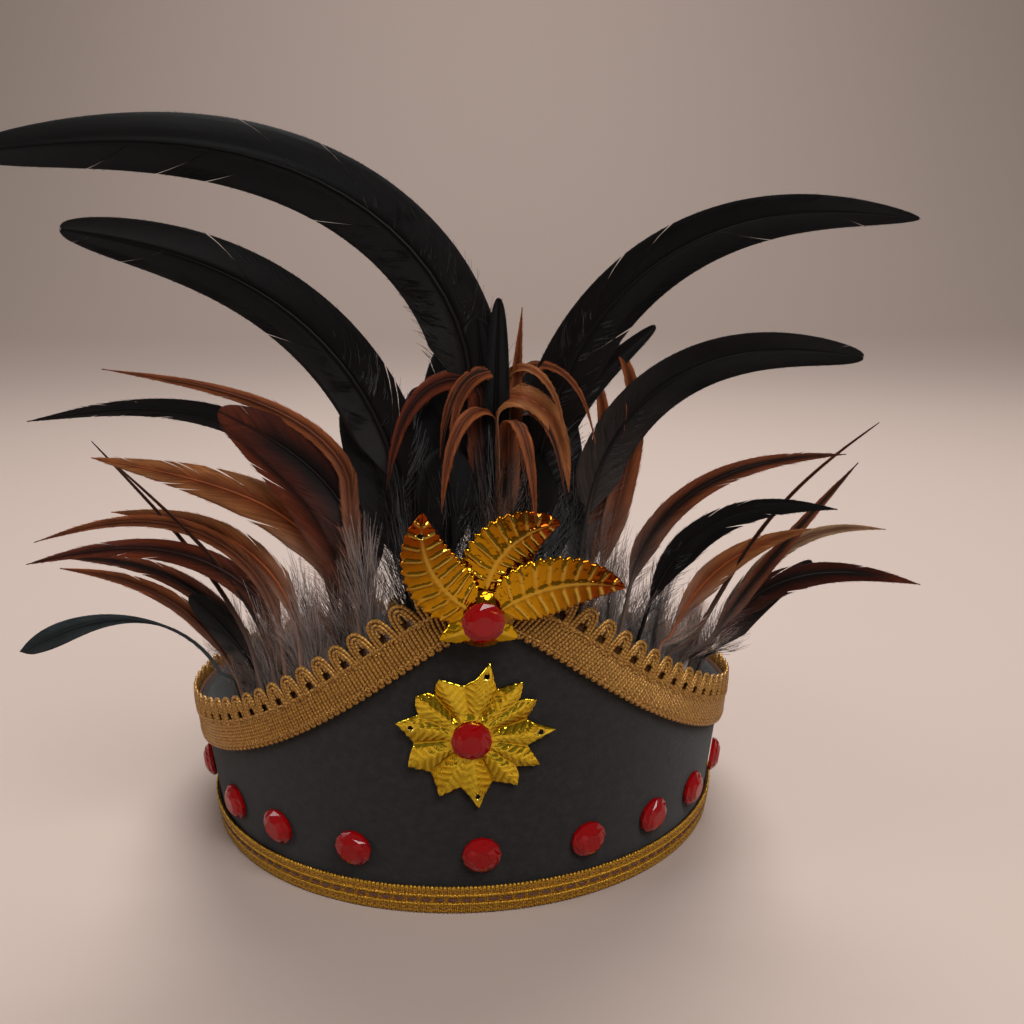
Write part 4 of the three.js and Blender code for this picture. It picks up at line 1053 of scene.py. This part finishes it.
class Vane:
    """One side of a feather: its splits, and the barbs that a sheet, a fringe or fluff follows."""

    def __init__(self, row, sign, rng):
        self.row, self.sign, self.rng = row, sign, rng
        self.kind, self.quill, self.length = VANES[row["vane"]], Quill(row), row["length"]
        self.bare = BARE_QUILL / self.length
        count = int(self.length / self.kind["split"])
        self.splits = np.sort(rng.uniform(BARE_QUILL, self.length * 0.97, count))
        self.sizes = self.kind["part"] * rng.uniform(0.35, 1, len(self.splits))
        self.first = self.bare + (1 - self.bare) * self.kind["loose"] * 0.55

    def parting(self, share):
        return parting_at(share * self.length, self.splits, self.sizes)

    def colors(self, share, t):
        grown = (share - self.bare) / (1 - self.bare)
        return coat_color(self.row, grown[:, None] + 0 * t[None], t[None] + 0 * grown[:, None], self.rng)

    def add_sheets(self, sheets):
        """Sheets of locked barbs that part here and there."""
        rows = max(8, int((1 - self.first) * self.length / ROW))
        place = np.linspace(self.first, 0.996, rows) * self.length
        place = np.sort(np.concatenate([place, self.splits - 0.01, self.splits + 0.01]))
        place = place[place >= self.first * self.length]
        share = place / self.length
        t = np.linspace(0, 1, 6)
        points = barb_lines(self.row, self.quill, self.sign, share, self.parting(share), t)
        shade = self.colors(share, t)
        group = np.searchsorted(self.splits, place)
        for k in np.unique(group):
            picked = np.flatnonzero(group == k)
            if len(picked) < 3:
                continue
            along = np.gradient(points[picked], axis=0)
            over = np.gradient(points[picked], axis=1)
            normal = np.cross(over, along) * -self.sign
            normal /= np.maximum(np.linalg.norm(normal, axis=-1, keepdims=True), 1e-9)
            lifted = points[picked] + normal * self.rng.uniform(-0.12, 0.12) * t[None, :, None]
            across = t * self.row["width"] / 12
            turned = slice(None, None, self.sign)
            sheets.add(lifted[:, turned], normal[:, turned], shade[picked][:, turned],
                       place[picked][:, None], across[None, turned])

    def add_fringe(self, fringe):
        """The free ends of the barbs along the vane's edge."""
        count = int((1 - self.first) * self.length / FRINGE["pitch"])
        share = self.first + (0.992 - self.first) * (np.arange(count) + self.rng.uniform(0, 1, count)) / count
        t = np.linspace(FRINGE["from"], 1, 3)
        parting = self.parting(share) + self.rng.normal(0, 0.02, count)
        half = np.maximum(half_width(self.row, share), 1.0)
        barb = half / math.sin(math.radians(self.kind["root"]))
        stretch = np.clip(1 + self.rng.normal(0.3, 0.7, count) * self.kind["fray"] / barb, 0.8, 1.3)
        lines = barb_lines(self.row, self.quill, self.sign, share, parting, t, stretch)
        fringe.add(lines, FRINGE["radius"] * (1.3 - t), self.colors(share, t), 0.5 * self.kind["fray"] * t)

    def add_fluff(self, fluff):
        """Loose barbs at the feather's foot, that reach less far the higher they grow."""
        loose = self.kind["loose"]
        count = int((1 - self.bare) * loose * self.length / FLUFF["pitch"])
        grown = self.rng.uniform(0, 1, count) ** 0.8 * loose * 1.25
        share = self.bare + (1 - self.bare) * grown
        t = np.linspace(0, 1, 4)
        half = half_width(self.row, share)
        want = np.maximum(half * FLUFF["reach"], self.kind["fluff"]) * (1.1 - 0.75 * grown / grown.max())
        stretch = np.clip(want / np.maximum(half, 0.3) * self.rng.uniform(0.6, 1.1, count), 0.5, 5)
        lean = np.clip(self.rng.normal(0, 0.12, count), -0.12, 0.3)
        lines = barb_lines(self.row, self.quill, self.sign, share, lean, t, stretch, FLUFF["spread"],
                           FLUFF["longest"])
        fluff.add(lines, FLUFF["radius"] * (1 - 0.5 * t), self.colors(share, t), FLUFF["wander"] * t)


def add_quill(strands, row):
    """Adds a feather's quill, thick and pale at its foot and hair-thin at its tip."""
    share = np.linspace(0, 1, 33)
    points = Quill(row).at(share, 0 * share, 0.12 + 0 * share)
    core, foot = [tone(COATS[row["coat"]][k]) for k in (0, 3)]
    color = mix(foot, core * 1.3, smooth(0.15, 0.5, share))
    strands.add([kept_inside(points)], [QUILL_FOOT * (1 - share) ** 1.2 + QUILL_TIP], [color])


def add_down(strands, plume, rng):
    """Adds the fluffy locks at a plume's foot."""
    size = DOWN[plume]
    dark, pale = [tone(color) for color in size["colors"]]
    t = np.linspace(0, 1, 5)
    for i in range(size["count"]):
        azimuth = size["from"] + (size["to"] - size["from"]) * i / (size["count"] - 1)
        odd = i % 2
        quill = Quill({"azimuth": azimuth, "heading": azimuth * DOWN_FAN["turn"], "roll": 90,
                       "lean": -size["lean"] * (DOWN_FAN["back"] + odd), "tip": size["lean"] * (1 + odd),
                       "straight": DOWN_FAN["straight"], "bend": 1,
                       "length": size["length"] * (1 - DOWN_FAN["shorter"] * odd)})
        start = rng.uniform(0.28, 0.8, DOWN_FIBRES)
        reach = rng.uniform(0.5, 1.15, DOWN_FIBRES) * size["width"] * 0.95 * (1.25 - start)
        turn = rng.uniform(0, TAU, DOWN_FIBRES)
        across = (reach * np.cos(turn))[:, None] * t[None] ** 0.8
        depth = (reach * np.sin(turn))[:, None] * t[None] ** 0.8 * 0.6
        rise = start[:, None] + (rng.uniform(0.15, 0.5, DOWN_FIBRES))[:, None] * t[None] ** 1.3
        points = quill.at(rise, across, depth)
        light = np.clip(t[None] * 0.6 + rng.uniform(-0.1, 0.6, (DOWN_FIBRES, 1)), 0, 1)
        strands.add(kept_inside(points), size["radius"] * (1 - 0.6 * t), mix(dark, pale, light), 5 * t)


def make_strip(name, span, felt):
    """The strip inside the wall that a plume's quills are glued to."""
    outer = -FELT - GAP
    inner = outer - STRIP["thickness"]
    rings = []
    for azimuth in np.radians(np.linspace(span[0], span[1], 33)):
        top = edge_height(azimuth) - STRIP["top"]
        low = top - STRIP["height"]
        section = np.array([(low, outer - 0.3), (low, inner + 0.4), (low + 0.6, inner), (top - 0.6, inner),
                            (top, inner + 0.4), (top, outer - 0.3), (top - 0.3, outer), (low + 0.3, outer)])
        rings.append(wall_point(np.full(len(section), azimuth), section[:, 0], section[:, 1]))
    points, faces = skin(rings, False)
    return make_object(name, points, faces, [felt])


def make_plume(plume, slot, felt, satin, fluffy, seed):
    """One plume: the vanes, edges and quills of its feathers, the fluff between them and their strip."""
    rng = np.random.default_rng(seed)
    sheets, fringe, quills, down = Sheets(), Strands(), Strands(), Strands()
    for row in FEATHERS + FILLERS:
        if row["plume"] == plume:
            for sign in (-1, 1):
                vane = Vane(row, sign, rng)
                vane.add_sheets(sheets)
                vane.add_fringe(fringe)
                vane.add_fluff(down)
            add_quill(quills, row)
    add_down(down, plume, rng)
    finished(sheets.build(plume + "_vanes", satin), slot, plume)
    finished(swept(plume + "_fringe", fringe, 3, satin, 7, seed), slot, plume)
    finished(swept(plume + "_quills", quills, 6, satin, 7, seed), slot, plume)
    finished(swept(plume + "_down", down, 3, fluffy, 3.5, seed), slot, plume)
    finished(make_strip(plume + "_strip", PLUMES[plume], felt), slot, plume)


# The object

felt = craft_felt()
antique = metallic_gimp("antique_gimp", "#582f12", "#996a28", "#d0a04e", 0.55)
yellow = metallic_gimp("yellow_gimp", "#7a4c10", "#b5831a", "#e0b040", 0.6)
# A darker, less metallic copy of the gimp: painted shade for the braids' grounds behind the cords.
deep = metallic_gimp("shaded_gimp", "#2c160a", "#5c3416", "#7c5020", 0.3)
thread = cotton_thread()
foil = gold_foil()
acrylic = red_acrylic()
backing = mirror_backing()
satin = feather_keratin("satin_feather", 0.45, 0.02, "#a09890")
fluffy = feather_keratin("fluffy_feather", 0.85, 0.22, "#ffffff")

finished(make_band(felt), "felt", "band")
make_upper_braid(antique, deep)
make_lower_braid(yellow, deep, thread)
for i, azimuth in enumerate(STONE_AZIMUTHS):
    node = f"band_stone_{i + 1:02d}"
    finished(make_stone(node + "_cut", azimuth, STONE_HEIGHT, GAP, acrylic, backing), "red_stone", node)
flower_top = GAP + FOIL + SUNFLOWER["rise"] + GAP
finished(make_sunflower(foil), "foil", "sunflower_plate")
finished(make_stone("sunflower_stone_cut", SUNFLOWER["azimuth"], SUNFLOWER["height"], flower_top,
                    acrylic, backing), "red_stone", "sunflower_stone")
single_seat = GAP + UPPER_BRAID["thickness"] + GAP
pair_seat = single_seat + FOIL + LEAF["ridge"] + GAP
leaf_top = pair_seat + FOIL + LEAF["ridge"] + GAP
finished(make_leaves("leaf_single_foil", [MIDDLE_LEAF], single_seat, foil), "foil", "leaf_single")
finished(make_leaves("leaf_pair_foil", [RIGHT_LEAF, LEFT_TAB, RIGHT_TAB], pair_seat, foil),
         "foil", "leaf_pair")
finished(make_leaves("leaf_left_foil", [LEFT_LEAF], pair_seat, foil), "foil", "leaf_pair")
finished(make_stone("leaf_stone_cut", LEAF_SEAT["azimuth"], LEAF_SEAT["height"], leaf_top, acrylic, backing),
         "red_stone", "leaf_stone")
make_plume("center_plume", "black_feather", felt, satin, fluffy, 11)
make_plume("left_plume", "brown_feather", felt, satin, fluffy, 12)
make_plume("right_plume", "brown_feather", felt, satin, fluffy, 13)


# Floor, light and camera

def make_stage():
    """A plain pale floor that sweeps up behind, under soft studio light."""
    material = surface("pale_floor", FLOOR["color"], 0.8)[0]
    reach, bend, width = FLOOR["reach"], FLOOR["bend"], FLOOR["width"]
    turn = np.linspace(0, math.pi / 2, 25)
    profile = [(-reach, 0)] + [(reach + bend * math.sin(a), bend - bend * math.cos(a)) for a in turn]
    profile.append((reach + bend, FLOOR["wall"]))
    points = [(x, y, z) for y, z in profile for x in (-width / 2, width / 2)]
    faces = [(2 * i, 2 * i + 1, 2 * i + 3, 2 * i + 2) for i in range(len(profile) - 1)]
    mesh = bpy.data.meshes.new("floor")
    mesh.from_pydata(points, [], faces)
    mesh.polygons.foreach_set("use_smooth", [True] * len(faces))
    mesh.materials.append(material)
    floor = bpy.data.objects.new("floor", mesh)
    bpy.context.scene.collection.objects.link(floor)
    world = bpy.data.worlds.new("studio")
    bpy.context.scene.world = world
    world.use_nodes = True
    sky = world.node_tree.nodes["Background"].inputs
    sky["Color"].default_value = linear(SKY["color"])
    sky["Strength"].default_value = SKY["strength"]
    for name, place, target, size, power in LAMPS:
        lamp = bpy.data.lights.new(name, "AREA")
        lamp.shape = "DISK"
        lamp.size = size
        lamp.energy = power
        holder = bpy.data.objects.new(name, lamp)
        holder.location = place
        aim = Vector(target) - Vector(place)
        holder.rotation_euler = aim.to_track_quat("-Z", "Y").to_euler()
        bpy.context.scene.collection.objects.link(holder)


def make_camera():
    """Stands where the headdress is seen from its front and a little above."""
    lens = bpy.data.cameras.new("camera")
    lens.lens = CAMERA["lens"]
    lens.sensor_width = CAMERA["sensor"]
    camera = bpy.data.objects.new("camera", lens)
    camera.location = [value * MM for value in CAMERA["place"]]
    tilt = Matrix.Rotation(math.radians(90 - CAMERA["down"]), 4, "X")
    roll = Matrix.Rotation(math.radians(CAMERA["roll"]), 4, "Z")
    camera.rotation_euler = (tilt @ roll).to_euler()
    bpy.context.scene.collection.objects.link(camera)
    bpy.context.scene.camera = camera


make_stage()
make_camera()
bpy.context.scene.view_settings.view_transform = "Standard"
